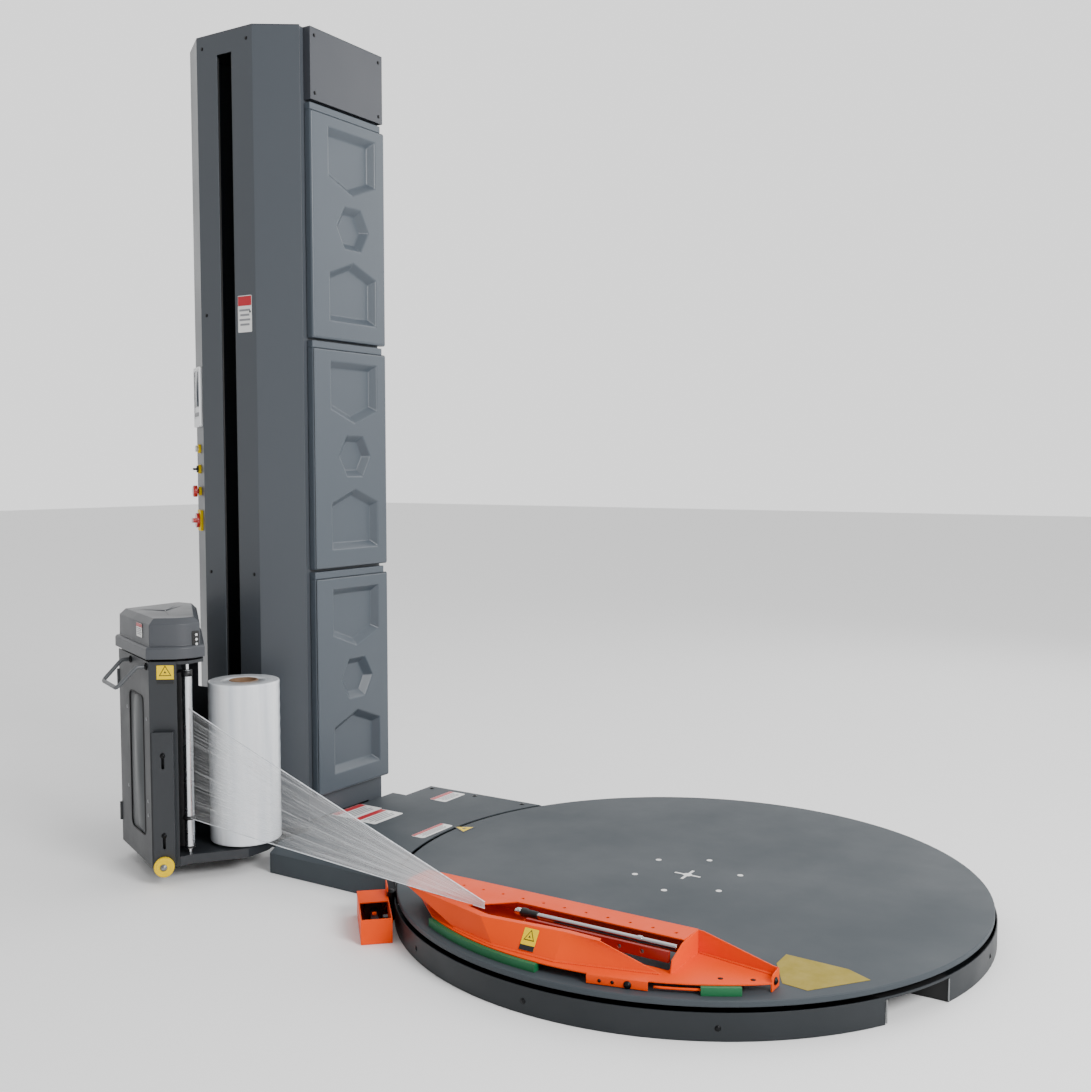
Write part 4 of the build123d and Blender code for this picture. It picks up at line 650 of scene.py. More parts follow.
@dataclass
class Studs:
    """A set of equal screw heads or weld beads on one body."""

    name: str
    body: str
    places: list[tuple[Vector, Point3]]
    size: Point3
    finish: Finish
    slot: str
    kind: StudKind = StudKind.SCREW

    def build(self) -> bpy.types.Object:
        """Sets the shapes on their points and turns them to one plain mesh."""
        points = bpy.data.meshes.new(self.name + "_points")
        points.from_pydata([tuple(at) for at, _ in self.places], [], [])
        facing = points.attributes.new("facing", "FLOAT_VECTOR", "POINT")
        facing.data.foreach_set("vector", [c for _, out in self.places for c in out])
        holder = linked(self.name + "_points", points)
        tree = stud_tree(self.kind)
        setter = holder.modifiers.new("studs", "NODES")
        setter.node_group = tree
        sizes = {**dict(zip(STUD_SIZES, self.size)), "Finish": self.finish.build()}
        for socket in tree.interface.items_tree:
            if socket.name in sizes:
                setter[socket.identifier] = sizes[socket.name]
        depsgraph = bpy.context.evaluated_depsgraph_get()
        data = bpy.data.meshes.new_from_object(holder.evaluated_get(depsgraph))
        bpy.data.objects.remove(holder)
        return finish_piece(linked(self.name, data), self.body, self.finish)


# ------------------------------------------------------------------ printed labels
# Ink and vinyl: how thick a print is, and how far it stands off its surface.
PRINT_FILM = 0.0004
PRINT_LIFT = 0.0002


class Print(Enum):
    """The plain, wordless layouts of the printed labels."""

    NOTICE = "notice"
    HAZARD = "hazard"
    TRIANGLE = "triangle"


@dataclass
class Label:
    """A thin vinyl label with a plain generic print and no lettering."""

    name: str
    body: str
    seat: Seat
    width: float
    height: float
    layout: Print

    def layer(self, part: str, outline: Sequence[Point2], finish: Finish, level: int) -> None:
        """Adds one printed layer on top of those below it."""
        shape = Shape().plate(self.seat, outline, PRINT_FILM, PRINT_LIFT + level * PRINT_FILM)
        shape.piece(f"{self.name}_{part}", self.body, finish, "", smooth=False)

    def build(self) -> None:
        """Builds the backing and its print."""
        w, h = self.width, self.height
        if self.layout is Print.NOTICE:
            self.layer("backing", rounded(w, h, w * 0.06), VINYL_WHITE, 0)
            self.layer("band", rectangle(w * 0.96, h * 0.26, (0.0, h * 0.35)), VINYL_RED, 1)
            for row in range(4):
                self.layer(f"bar_{row + 1}", rectangle(w * (0.78 - 0.12 * (row % 2)), h * 0.055,
                                                       (0.0, h * (0.10 - 0.13 * row))), VINYL_GREY, 1)
            return
        if self.layout is Print.HAZARD:
            self.layer("backing", rounded(w, h, w * 0.06), VINYL_YELLOW, 0)
            self.layer("strip", rectangle(w, h * 0.24, (0.0, -h * 0.38)), VINYL_BLACK, 1)
            side, middle = w * 0.74, h * 0.12
        else:
            side, middle = w, 0.0
        triangles = (("border", 1.0, VINYL_BLACK), ("field", 0.78, VINYL_YELLOW),
                     ("mark", 0.22, VINYL_BLACK))
        for level, (part, share, finish) in enumerate(triangles, 1):
            half, rise = side * share / 2, side * share * 0.866
            self.layer(part, [(-half, middle - rise / 3), (half, middle - rise / 3),
                              (0.0, middle + rise * 2 / 3)], finish, level)


# ------------------------------------------------------------------ base and turntable
@dataclass
class Base:
    """The floor frame, the fork pockets, the skirt and the bridge up to the mast."""

    skirt_radius: float = 0.8315
    screw_height: float = 0.030
    screw_turns: tuple[float, ...] = (-91.3, -60.0, -120.0, 0.2, 60.0, 90.0, 120.0)
    pocket_y: float = 0.348
    pocket_width: float = 0.196
    top: float = 0.088
    actuator: Point2 = (-0.6452, -0.6101)
    actuator_turn: float = -136.6

    def build(self) -> None:
        """Builds the small parts on the frame."""
        dress(FRAME_COAT, "base_frame", "turntable_skirt", "roller_brackets")
        # the fork channels' near-black coat is painted shade in the pocket openings
        dress(INNER_PAINTED_SHADE, "fork_channels")
        dress(TABLE_COAT, "bridge_cover")
        dress(ZINC, "drive_chain", "drive_sprocket")
        dress(MOTOR_PAINT, "table_gearmotor")
        dress(BLACK_RUBBER, "support_roller_1", "support_roller_2", "support_roller_3",
              "support_roller_4")
        places = []
        for turn in self.screw_turns:
            out = (cos(radians(turn)), sin(radians(turn)), 0.0)
            places.append((Vector(out) * self.skirt_radius + Vector((0, 0, self.screw_height)), out))
        Studs("skirt_screws", "base", places, SKIRT_SCREW, BLACK_BOLT, "frame_paint").build()
        corners = [(Vector((x, y, self.top)), UP)
                   for x in (-1.19, -1.0, -0.80) for y in (-0.36, 0.36)]
        Studs("bridge_screws", "base", corners, BRIDGE_SCREW, BLACK_BOLT, "frame_paint").build()
        self.pocket_edges()
        self.labels()
        self.actuator_parts()
        log.info("base: dressed, with its screws, pocket edges, labels and actuator parts")

    def pocket_edges(self) -> None:
        """The bent lips that stiffen the mouths of the fork pockets."""
        shape = Shape()
        for side in (1, -1):
            for edge in (1, -1):
                y = side * self.pocket_y + edge * (self.pocket_width / 2 - 0.002)
                x = (self.skirt_radius ** 2 - y ** 2) ** 0.5
                seat = Seat((x - 0.001, y, 0.030), BACK, ACROSS)
                shape.plate(seat, rounded(0.0035, 0.054, 0.0012, 2), 0.003)
        shape.piece("pocket_lips", "base", ZINC, "zinc_steel")

    def labels(self) -> None:
        """The printed notices on the bridge."""
        for name, at, size in (("bridge_notice_1", (-1.225, -0.01), (0.10, 0.15)),
                               ("bridge_notice_2", (-1.125, -0.02), (0.10, 0.15)),
                               ("bridge_notice_3", (-1.075, 0.30), (0.07, 0.12)),
                               ("bridge_notice_4", (-0.875, -0.05), (0.05, 0.16))):
            Label(name, "base", Seat((*at, self.top), BACK, UP), size[1], size[0],
                  Print.NOTICE).build()
        Label("bridge_triangle", "base", Seat((-0.80, 0.02, self.top), BACK, UP), 0.07, 0.07,
              Print.TRIANGLE).build()

    def actuator_parts(self) -> None:
        """The dark mechanism inside the actuator's tray and its roller by the turntable."""
        dress(ORANGE_PAINT, "actuator_box")
        dress(BLACK_NYLON, "actuator_lever")
        turn = radians(self.actuator_turn)
        along = (-sin(turn), cos(turn), 0.0)
        seat = Seat((*self.actuator, 0.0), along, UP)
        shape = Shape()
        for middle, size, low, high in (((0.070, 0.020), (0.050, 0.022), 0.004, 0.036),
                                        ((0.086, -0.018), (0.030, 0.028), 0.004, 0.050),
                                        ((-0.074, 0.0), (0.052, 0.048), 0.004, 0.052),
                                        ((0.068, 0.026), (0.020, 0.014), 0.004, 0.058),
                                        ((0.037, 0.026), (0.042, 0.014), 0.004, 0.021),
                                        ((0.094, 0.012), (0.020, 0.012), 0.004, 0.030),
                                        ((0.036, -0.030), (0.022, 0.012), 0.004, 0.016)):
            shape.plate(seat, rectangle(*size, middle), high - low, low)
        shape.piece("actuator_mechanism", "base", BLACK_NYLON, "black_plastic", 1.5)
        shape = Shape().turned(seat.moved(-0.060, 0.050),
                               [(0.002, 0.0), (0.013, 0.0), (0.013, 0.03), (0.009, 0.034),
                                (0.009, 0.052), (0.013, 0.056), (0.013, 0.078), (0.004, 0.084)], 24)
        shape.piece("actuator_roller", "base", BLACK_BOLT, "black_plastic", 0.8)


@dataclass
class Turntable:
    """The turning table with its marks and its painted patch."""

    top: float = 0.088
    mark_circle: float = 0.150
    mark_radius: float = 0.0085
    cross: Point2 = (0.080, 0.008)
    hub_radius: float = 0.013
    patch: tuple[Point2, ...] = ((0.446, -0.455), (0.498, -0.553), (0.560, -0.560), (0.662, -0.430),
                                 (0.600, -0.398), (0.446, -0.392))

    def build(self) -> None:
        """Builds the marks and the patch."""
        dress(TABLE_COAT, "turntable_disc")
        dress(ZINC, "table_hub")
        seat = Seat((0.0, 0.0, self.top), ACROSS, UP)
        shape = Shape()
        for step in range(6):
            turn = radians(30 + 60 * step)
            middle = (self.mark_circle * cos(turn), self.mark_circle * sin(turn))
            shape.plate(seat, round_outline(self.mark_radius, 20, middle), PRINT_FILM, PRINT_LIFT)
        # a plain cross marks the centre that a pallet is set over
        for width, height in (self.cross, self.cross[::-1]):
            shape.plate(seat, rectangle(width, height), PRINT_FILM, PRINT_LIFT)
        shape.plate(seat, round_outline(self.hub_radius, 24), 0.0005, PRINT_LIFT)
        shape.piece("centre_marks", "turntable", VINYL_WHITE, "", smooth=False)
        shape = Shape().plate(seat, self.patch, PRINT_FILM, PRINT_LIFT)
        shape.piece("yellow_patch", "turntable", FLOOR_PAINT, "", smooth=False)
        log.info("turntable: marks and patch")


# ------------------------------------------------------------------ mast
@dataclass
class MouldedPanel:
    """One moulded side panel, with two pointed recesses and a hexagon between them."""

    side: int
    level: int
    mast_x: float = -1.545
    half_width: float = 0.270
    depth: float = 0.0295
    bottom: float = 0.158
    pitch: float = 0.755
    seam: float = 0.008
    front_y: float = -0.140
    back_y: float = 0.225
    ledge: float = 0.022
    ledge_setback: float = 0.018
    chamfer: float = 0.005
    recess_depth: float = 0.022
    recess_y: float = 0.057
    recess_half_width: float = 0.117
    recess_outer: float = 0.312
    shoulder: float = 0.155
    tip: float = 0.110
    hexagon: float = 0.080

    def recesses(self) -> list[list[Point2]]:
        """The three recess outlines about the panel's middle, anticlockwise in y and z."""
        y, half = self.recess_y, self.recess_half_width
        upper = [(y - half, self.recess_outer), (y - half, self.shoulder), (y, self.tip),
                 (y + half, self.shoulder), (y + half, self.recess_outer)]
        lower = [(u, -v) for u, v in upper][::-1]
        six = [(y + self.hexagon * cos(radians(t)), self.hexagon * sin(radians(t)))
               for t in range(0, 360, 60)]
        return [upper, lower, six]

    def build(self) -> None:
        """Builds the panel as one closed skin, with its ledge."""
        name = f"{'right' if self.side > 0 else 'left'}_{self.level + 1}"
        height = self.pitch - self.seam
        low = self.bottom + self.level * self.pitch
        middle, top = low + height / 2, low + height - self.ledge

        def at(y: float, z: float, depth: float) -> Vector:
            """A point of the panel, so deep behind its face."""
            return Vector((self.mast_x + self.side * (self.half_width - depth), y, z))

        shape = Shape()
        bm = shape.bm
        outer = [(self.front_y, low), (self.back_y, low), (self.back_y, top), (self.front_y, top)]
        rings = [(outer, self.depth), (outer, self.chamfer), (inset(outer, self.chamfer), 0.0)]
        made = [[bm.verts.new(at(y, z, depth)) for y, z in loop] for loop, depth in rings]
        bm.faces.new(made[0])
        for a, b in zip(made, made[1:]):
            for i in range(4):
                bm.faces.new((a[i], a[(i + 1) % 4], b[(i + 1) % 4], b[i]))
        rims = [bm.edges.get((made[2][i], made[2][(i + 1) % 4])) for i in range(4)]
        for loop in self.recesses():
            mouth = [bm.verts.new(at(y, middle + z, 0.0)) for y, z in loop]
            floor = [bm.verts.new(at(y, middle + z, self.recess_depth))
                     for y, z in inset(loop, self.recess_depth)]
            count = len(mouth)
            for i in range(count):
                j = (i + 1) % count
                bm.faces.new((mouth[i], mouth[j], floor[j], floor[i]))
            bm.faces.new(floor)
            rims += [bm.edges.get((mouth[i], mouth[(i + 1) % count])) for i in range(count)]
        bmesh.ops.triangle_fill(bm, use_beauty=True, edges=rims)
        panel = shape.piece(f"moulded_panel_{name}", "base", PANEL_ABS, "panel_plastic", 4.0)
        seat = Seat(tuple(at(0.0, 0.0, self.depth)), (0.0, float(self.side), 0.0),
                    (float(self.side), 0.0, 0.0))
        left, right = sorted((self.side * self.front_y, self.side * (self.back_y - self.ledge_setback)))
        ledge = Shape().plate(seat, [(left, top - 0.001), (right, top - 0.001),
                                     (right, top + self.ledge), (left, top + self.ledge)],
                              self.depth - 0.004)
        ledge.piece(f"panel_ledge_{name}", "base", PANEL_ABS, "panel_plastic", 2.5)
        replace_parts(panel, f"side_panel_{name}")


@dataclass
class Mast:
    """The tall octagonal mast with its covers, panels, slot lips and rear door."""

    x: float = -1.545
    front_y: float = -0.250
    back_y: float = 0.250
    slot_top: float = 2.580
    bottom: float = 0.062
    door_width: float = 0.330
    door_low: float = 0.420
    door_high: float = 1.900

    def build(self) -> None:
        """Builds everything on the mast."""
        dress(MAST_COAT, "mast_front_cover", "mast_rear_cover")
        dress(HEAD_COAT, "mast_top_cap")
        # the mast column's near-black coat is painted shade inside the mast
        dress(INNER_PAINTED_SHADE, "mast_column")
        dress(MOTOR_PAINT, "lift_gearmotor")
        dress(BLACK_RUBBER, "lift_belt")
        dress(ZINC, "lower_pulley", "upper_pulley", "electrical_box")
        for side in (1, -1):
            for level in range(3):
                MouldedPanel(side, level).build()
        self.slot_lips()
        self.screws()
        self.rear_door()
        front = Seat((-1.4685, self.front_y, 1.744), ACROSS, FRONT)
        Label("slot_notice", "base", front, 0.062, 0.118, Print.NOTICE).build()
        log.info("mast: panels, slot lips, screws, label and rear door")

    def slot_lips(self) -> None:
        """Two black brush strips that close the slot down to the arm's width."""
        shape = Shape()
        seat = Seat((self.x, self.front_y + 0.006, 0.0), ACROSS, FRONT)
        for side in (1, -1):
            left, right = sorted((side * 0.0285, side * 0.046))
            shape.plate(seat, [(left, self.bottom), (right, self.bottom), (right, self.slot_top - 0.01),
                             (left, self.slot_top - 0.01)], 0.0025)
        shape.piece("slot_brushes", "base", BLACK_RUBBER, "black_rubber")

    def screws(self) -> None:
        """The small screws of the top cap and of the covers' corners."""
        places = []
        for side in (1, -1):
            out = (float(side), 0.0, 0.0)
            for y in (-0.120, 0.195):
                for z in (2.445, 2.625):
                    places.append((Vector((self.x + side * 0.27, y, z)), out))
        for x in (-0.100, 0.100):
            for z in (0.10, 0.90, 1.75, 2.61):
                places.append((Vector((self.x + x, self.front_y, z)), FRONT))
        Studs("cover_screws", "base", places, COVER_SCREW, BLACK_BOLT, "frame_paint").build()

    def rear_door(self) -> None:
        """The service door on the mast's back, with its hinges, louvres and two locks."""
        seat = Seat((self.x, self.back_y, 0.0), (-1.0, 0.0, 0.0), BACK)
        middle = (self.door_low + self.door_high) / 2
        shape = Shape()
        outline = [(u, v + middle) for u, v in rounded(self.door_width, self.door_high - self.door_low,
                                                       0.012)]
        shape.plate(seat, outline, 0.003)
        shape.piece("rear_door", "base", MAST_COAT, "cover_paint", 1.2)
        shape = Shape()
        for row in range(9):
            z = self.door_low + 0.14 + row * 0.022
            shape.skin([[seat.at(u, z + v, lift) for v, lift in
                            ((0.0, 0.003), (0.013, 0.003), (0.013, 0.004), (0.002, 0.0095))]
                           for u in (-0.075, 0.075)])
        shape.piece("rear_louvres", "base", MAST_COAT, "cover_paint")
        shape = Shape()
        for z in (self.door_low + 0.12, middle, self.door_high - 0.12):
            barrel = Seat(tuple(seat.at(-self.door_width / 2 - 0.004, z - 0.03, 0.004)),
                          ACROSS, UP)
            shape.turned(barrel, [(0.003, 0.0), (0.005, 0.001), (0.005, 0.059), (0.003, 0.060)], 20)
        shape.piece("rear_hinges", "base", BLACK_BOLT, "frame_paint")
        shape = Shape()
        for z in (self.door_low + 0.25, self.door_high - 0.25):
            shape.turned(seat.moved(self.door_width / 2 - 0.022, z, 0.003),
                         [(0.002, 0.0), (0.011, 0.0), (0.011, 0.003), (0.009, 0.0045),
                          (0.006, 0.0045), (0.0055, 0.002), (0.001, 0.002)], 28)
        shape.piece("rear_locks", "base", ZINC, "zinc_steel")


@dataclass
class Controls:
    """The controls on the mast's left front face."""

    face: Point2 = (-1.73275, -0.208)
    out: Point3 = (-0.559261, -0.828991, 0.0)
    right: Point3 = (0.828991, -0.559261, 0.0)
    screen_z: float = 1.485

    def build(self) -> None:
        """Dresses the buttons and builds the screen's glass and its key row."""
        dress(RED_CAP, "e_stop_button", "isolator_knob")
        dress(WHITE_ABS, "push_button", "touch_screen")
        dress(BLACK_NYLON, "selector_knob")
        dress(YELLOW_NYLON, "control_collars")
        face = Seat((*self.face, self.screen_z), self.right, self.out)
        glass = Shape().plate(face.moved(0.0, 0.026), rounded(0.098, 0.118, 0.004), 0.0012, 0.0082)
        glass.piece("screen_glass", "base", DISPLAY, "white_plastic")
        keys = Shape()
        for column in range(4):
            keys.plate(face.moved(-0.036 + column * 0.024, -0.058), rounded(0.018, 0.014, 0.003), 0.002,
                       0.0082)
        keys.piece("screen_keys", "base", VINYL_GREY, "white_plastic")
        log.info("controls: screen glass and keys")


# ------------------------------------------------------------------ carriage
@dataclass
class Carriage:
    """The lifting film carriage: casing, hood, door, toe guard, rollers and film reel."""

    hinge: Point2 = (-1.745, -0.553)
    corner: Point2 = (-1.436, -0.693)
    end: Point2 = (-1.372, -0.644)
    back_y: float = -0.300
    upper_back_x: float = -1.660
    idler: Point2 = (-1.384, -0.593)
    top: float = 0.672
    hood_low: float = 0.680
    hood_rim: float = 0.036
    hood_top: float = 0.800
    hood_overhang: float = 0.008
    hood_wall: float = 0.003
    window_share: float = 0.59
    window: Point2 = (0.150, 0.430)
    window_z: float = 0.345
    guard_depth: float = 0.0205
    guard_slots: Point2 = (0.152, 0.394)
    wheel_z: float = 0.060
    wheel_face: float = 0.0355
    handle_shares: Point2 = (0.43, 0.93)
    handle_drop: float = 0.016
    idler_nose: float = 0.034

    def door_seat(self, share: float, z: float) -> Seat:
        """A seat on the door's wide face, a share of the way along it."""
        run = Vector((self.corner[0] - self.hinge[0], self.corner[1] - self.hinge[1], 0.0))
        at = Vector((*self.hinge, z)) + run * share
        return Seat(tuple(at), tuple(run.normalized()), (run.normalized().y, -run.normalized().x, 0.0))

    def end_seat(self, z: float) -> Seat:
        """A seat at the middle of the door's narrow end face."""
        run = Vector((self.end[0] - self.corner[0], self.end[1] - self.corner[1], 0.0))
        at = Vector((*self.corner, z)) + run * 0.5
        return Seat(tuple(at), tuple(run.normalized()), (run.normalized().y, -run.normalized().x, 0.0))

    def build(self) -> None:
        """Builds everything that the carriage carries."""
        dress(CASING_COAT, "carriage_casing", "carriage_tray", "carriage_arm", "casing_door",
              "toe_guard")
        dress(HANDLE_COAT, "door_handle")
        dress(SHOE_NYLON, "guide_shoes")
        dress(MOTOR_PAINT, "stretch_gearmotor")
        dress(BLACK_RUBBER, "stretch_roller_1", "stretch_roller_2")
        dress(ALUMINIUM, "idler_roller")
        dress(ZINC, "reel_spindle")
        dress(YELLOW_NYLON, "toe_wheel")
        self.hood()
        self.door_parts()
        self.guard_parts()
        self.idler_parts()
        self.film_roll()
        log.info("carriage: hood, door, toe guard, idler and film roll")

    def hood_outline(self) -> list[Point2]:
        """The casing's plan that the hood sits over, anticlockwise."""
        nose, y = self.idler[0] + self.idler_nose, self.idler[1]
        back = self.back_y - 0.003
        return [(self.hinge[0], back), self.hinge, self.corner, self.end, (nose, y - 0.008),
                (nose, y + 0.030), (self.upper_back_x + self.hood_overhang, back)]

    def hood(self) -> None:
        """The moulded hood: a rim band, a body with bevelled shoulders, and moulded creases."""
        loop, rim, wall = self.hood_outline(), self.hood_low + self.hood_rim, self.hood_wall
        outside = [(-self.hood_overhang, self.hood_low), (-self.hood_overhang, rim - 0.006),
                   (-self.hood_overhang + 0.004, rim), (0.004, rim + 0.002), (0.005, 0.782),
                   (0.022, self.hood_top)]
        inside = [(0.026, self.hood_top - wall), (0.008, 0.780), (0.007, rim - wall),
                  (-self.hood_overhang + wall, rim - 0.008),
                  (-self.hood_overhang + wall, self.hood_low)]
        shape = Shape()
        bm = shape.bm
        made = [[bm.verts.new((x, y, z)) for x, y in inset(loop, distance)]
                for distance, z in outside + inside]
        count, last_outside = len(loop), len(outside) - 1
        for index, (a, b) in enumerate(zip(made, made[1:] + made[:1])):
            if index == last_outside:
                continue
            for i in range(count):
                j = (i + 1) % count
                bm.faces.new((a[i], a[j], b[j], b[i]))
        for ring in (made[last_outside], made[last_outside + 1]):
            bm.faces.new(ring)
        hood = shape.piece("moulded_hood", "carriage", HOOD_ABS, "hood_plastic", 2.6)
        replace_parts(hood, "carriage_hood")
        self.hood_details()

    def hood_details(self) -> None:
        """The hood's raised creases, its connector port, plugs and notice."""
        middle = Vector((-1.560, -0.520, self.hood_top))
        shape = Shape()
        for x, y in ((-1.712, -0.325), (-1.710, -0.545), (-1.420, -0.620), (-1.665, -0.330)):
            start = Vector((x, y, self.hood_top - 0.004))
            path = [start.lerp(middle, share / 8) for share in range(9)]
            shape.bar(path, 0.0032)
        shape.piece("hood_creases", "carriage", HOOD_ABS, "hood_plastic")
        nose = self.idler[0] + self.idler_nose
        port = Seat((nose - 0.0045, self.idler[1] + 0.008, 0.734), BACK, ACROSS)
        shape = Shape().plate(port, rounded(0.026, 0.050, 0.003), 0.003)
        shape.piece("hood_port", "carriage", BLACK_NYLON, "black_plastic", 0.8)
        shape = Shape()
        for row in range(3):
            shape.turned(port.moved(0.0, 0.014 - 0.014 * row, 0.003),
                         [(0.001, 0.0), (0.0042, 0.0), (0.0042, 0.004), (0.002, 0.005)], 16)
        shape.piece("hood_plugs", "carriage", WHITE_ABS, "white_plastic")
        face = self.door_seat(0.70, 0.757)
        Label("hood_notice", "carriage", face.moved(0.0, 0.0, -0.0035), 0.062, 0.042,
              Print.NOTICE).build()

    def door_parts(self) -> None:
        """The window's pane and gasket, the door's screws, and the hazard label."""
        seat = self.door_seat(self.window_share, self.window_z)
        width, height = self.window
        shape = Shape().plate(seat, rounded(width - 0.004, height - 0.004, 0.020), 0.0012, -0.0028)
        shape.piece("window_pane", "door", WINDOW_PANE, "casing_paint")
        shape = Shape()
        shape.hoop([seat.at(u, v, 0.0002) for u, v in rounded(width, height, 0.022)], 0.0022)
        shape.piece("window_gasket", "door", BLACK_RUBBER, "black_rubber")
        screws = [(0.275, 0.500), (0.905, 0.496), (0.275, 0.248), (0.905, 0.245), (0.905, 0.202)]
        places = [(self.door_seat(share, z).at(0.0, 0.0), self.door_seat(share, z).out)
                  for share, z in screws]
        Studs("door_screws", "door", places, DOOR_SCREW, ZINC, "zinc_steel").build()
        end = self.end_seat(0.634)
        Label("door_hazard", "door", end.moved(0.008, 0.0), 0.050, 0.055, Print.HAZARD).build()
        shape = Shape()
        for share in self.handle_shares:
            foot = self.door_seat(share, self.top - self.handle_drop)
            shape.turned(foot, [(0.002, 0.0), (0.011, 0.0), (0.011, 0.003), (0.0082, 0.006),
                              (0.0068, 0.007), (0.0062, 0.007)], 24)
        shape.piece("handle_feet", "door", BLACK_BOLT, "casing_paint")

    def guard_parts(self) -> None:
        """The toe guard's guide bolts and the wheel's hub."""
        places = []
        for z in self.guard_slots:
            seat = self.end_seat(z)
            places.append((seat.at(0.0, 0.0, self.guard_depth + 0.0005), seat.out))
        Studs("guard_bolts", "door", places, GUARD_BOLT, BLACK_BOLT, "casing_paint").build()
        hub = self.end_seat(self.wheel_z)
        shape = Shape()
        face = hub.moved(0.0, 0.0, self.wheel_face)
        shape.turned(face, [(0.001, 0.0), (0.0105, 0.0), (0.0105, 0.0012), (0.0075, 0.0016),
                          (0.0070, 0.0045), (0.0035, 0.0058), (0.001, 0.0060)], 28)
        shape.piece("wheel_bolt", "toe_guard", ZINC, "zinc_steel")
        shape = Shape()
        for radius in (0.0205, 0.0265):
            shape.hoop([face.at(u, v, -0.0006) for u, v in round_outline(radius, 48)], 0.0011)
        shape.piece("wheel_ribs", "toe_wheel", YELLOW_NYLON, "yellow_plastic")

    def idler_parts(self) -> None:
        """The idler's dark end cap and the clip that holds the film's lower edge."""
        shape = Shape()
        for low, high, radius in ((0.620, 0.640, 0.0165), (0.094, 0.102, 0.0165),
                                  (0.182, 0.194, 0.0185)):
            seat = Seat((*self.idler, low), ACROSS, UP)
            shape.turned(seat, [(radius - 0.004, 0.0), (radius, 0.001), (radius, high - low - 0.001),
                              (radius - 0.004, high - low)], 32)
        shape.piece("idler_caps", "idler", BLACK_NYLON, "black_plastic")

    def film_roll(self) -> None:
        """The wound film with its rounded shoulders, and its spiral cardboard core."""
        low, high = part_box("film_roll")
        radius = (high.x - low.x) / 2
        axis = ((high.x + low.x) / 2, (high.y + low.y) / 2)
        height, core, bore, round_off = high.z - low.z, 0.045, 0.038, 0.005
        seat = Seat((*axis, low.z), ACROSS, UP)
        shape = Shape()
        shoulder = [(radius - round_off * (1 - sin(radians(t))), round_off * (1 - cos(radians(t))))
                    for t in range(0, 91, 15)]
        side = [(radius - 0.0008 * (step % 2), height * step / 24) for step in range(1, 24)]
        profile = [(core, 0.0)] + shoulder + side + [(r, height - h) for r, h in shoulder[::-1]]
        profile += [(core + 0.030, height - 0.0015), (core, height)]
        shape.turned(seat, profile, 96, closed=True)
        roll = shape.piece("wound_film", "reel", WoundFilm("wound_film", axis),
                            "film_wound")
        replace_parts(roll, "film_roll")
        shape = Shape()
        tube = [(bore, 0.0), (core, 0.0), (core, height), (core - 0.001, height + 0.0012),
                (bore + 0.001, height + 0.0012), (bore, height)]
        shape.turned(seat, tube, 64, closed=True)
        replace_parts(shape.piece("cardboard_core", "reel", CARDBOARD, "cardboard"),
                    "film_core")


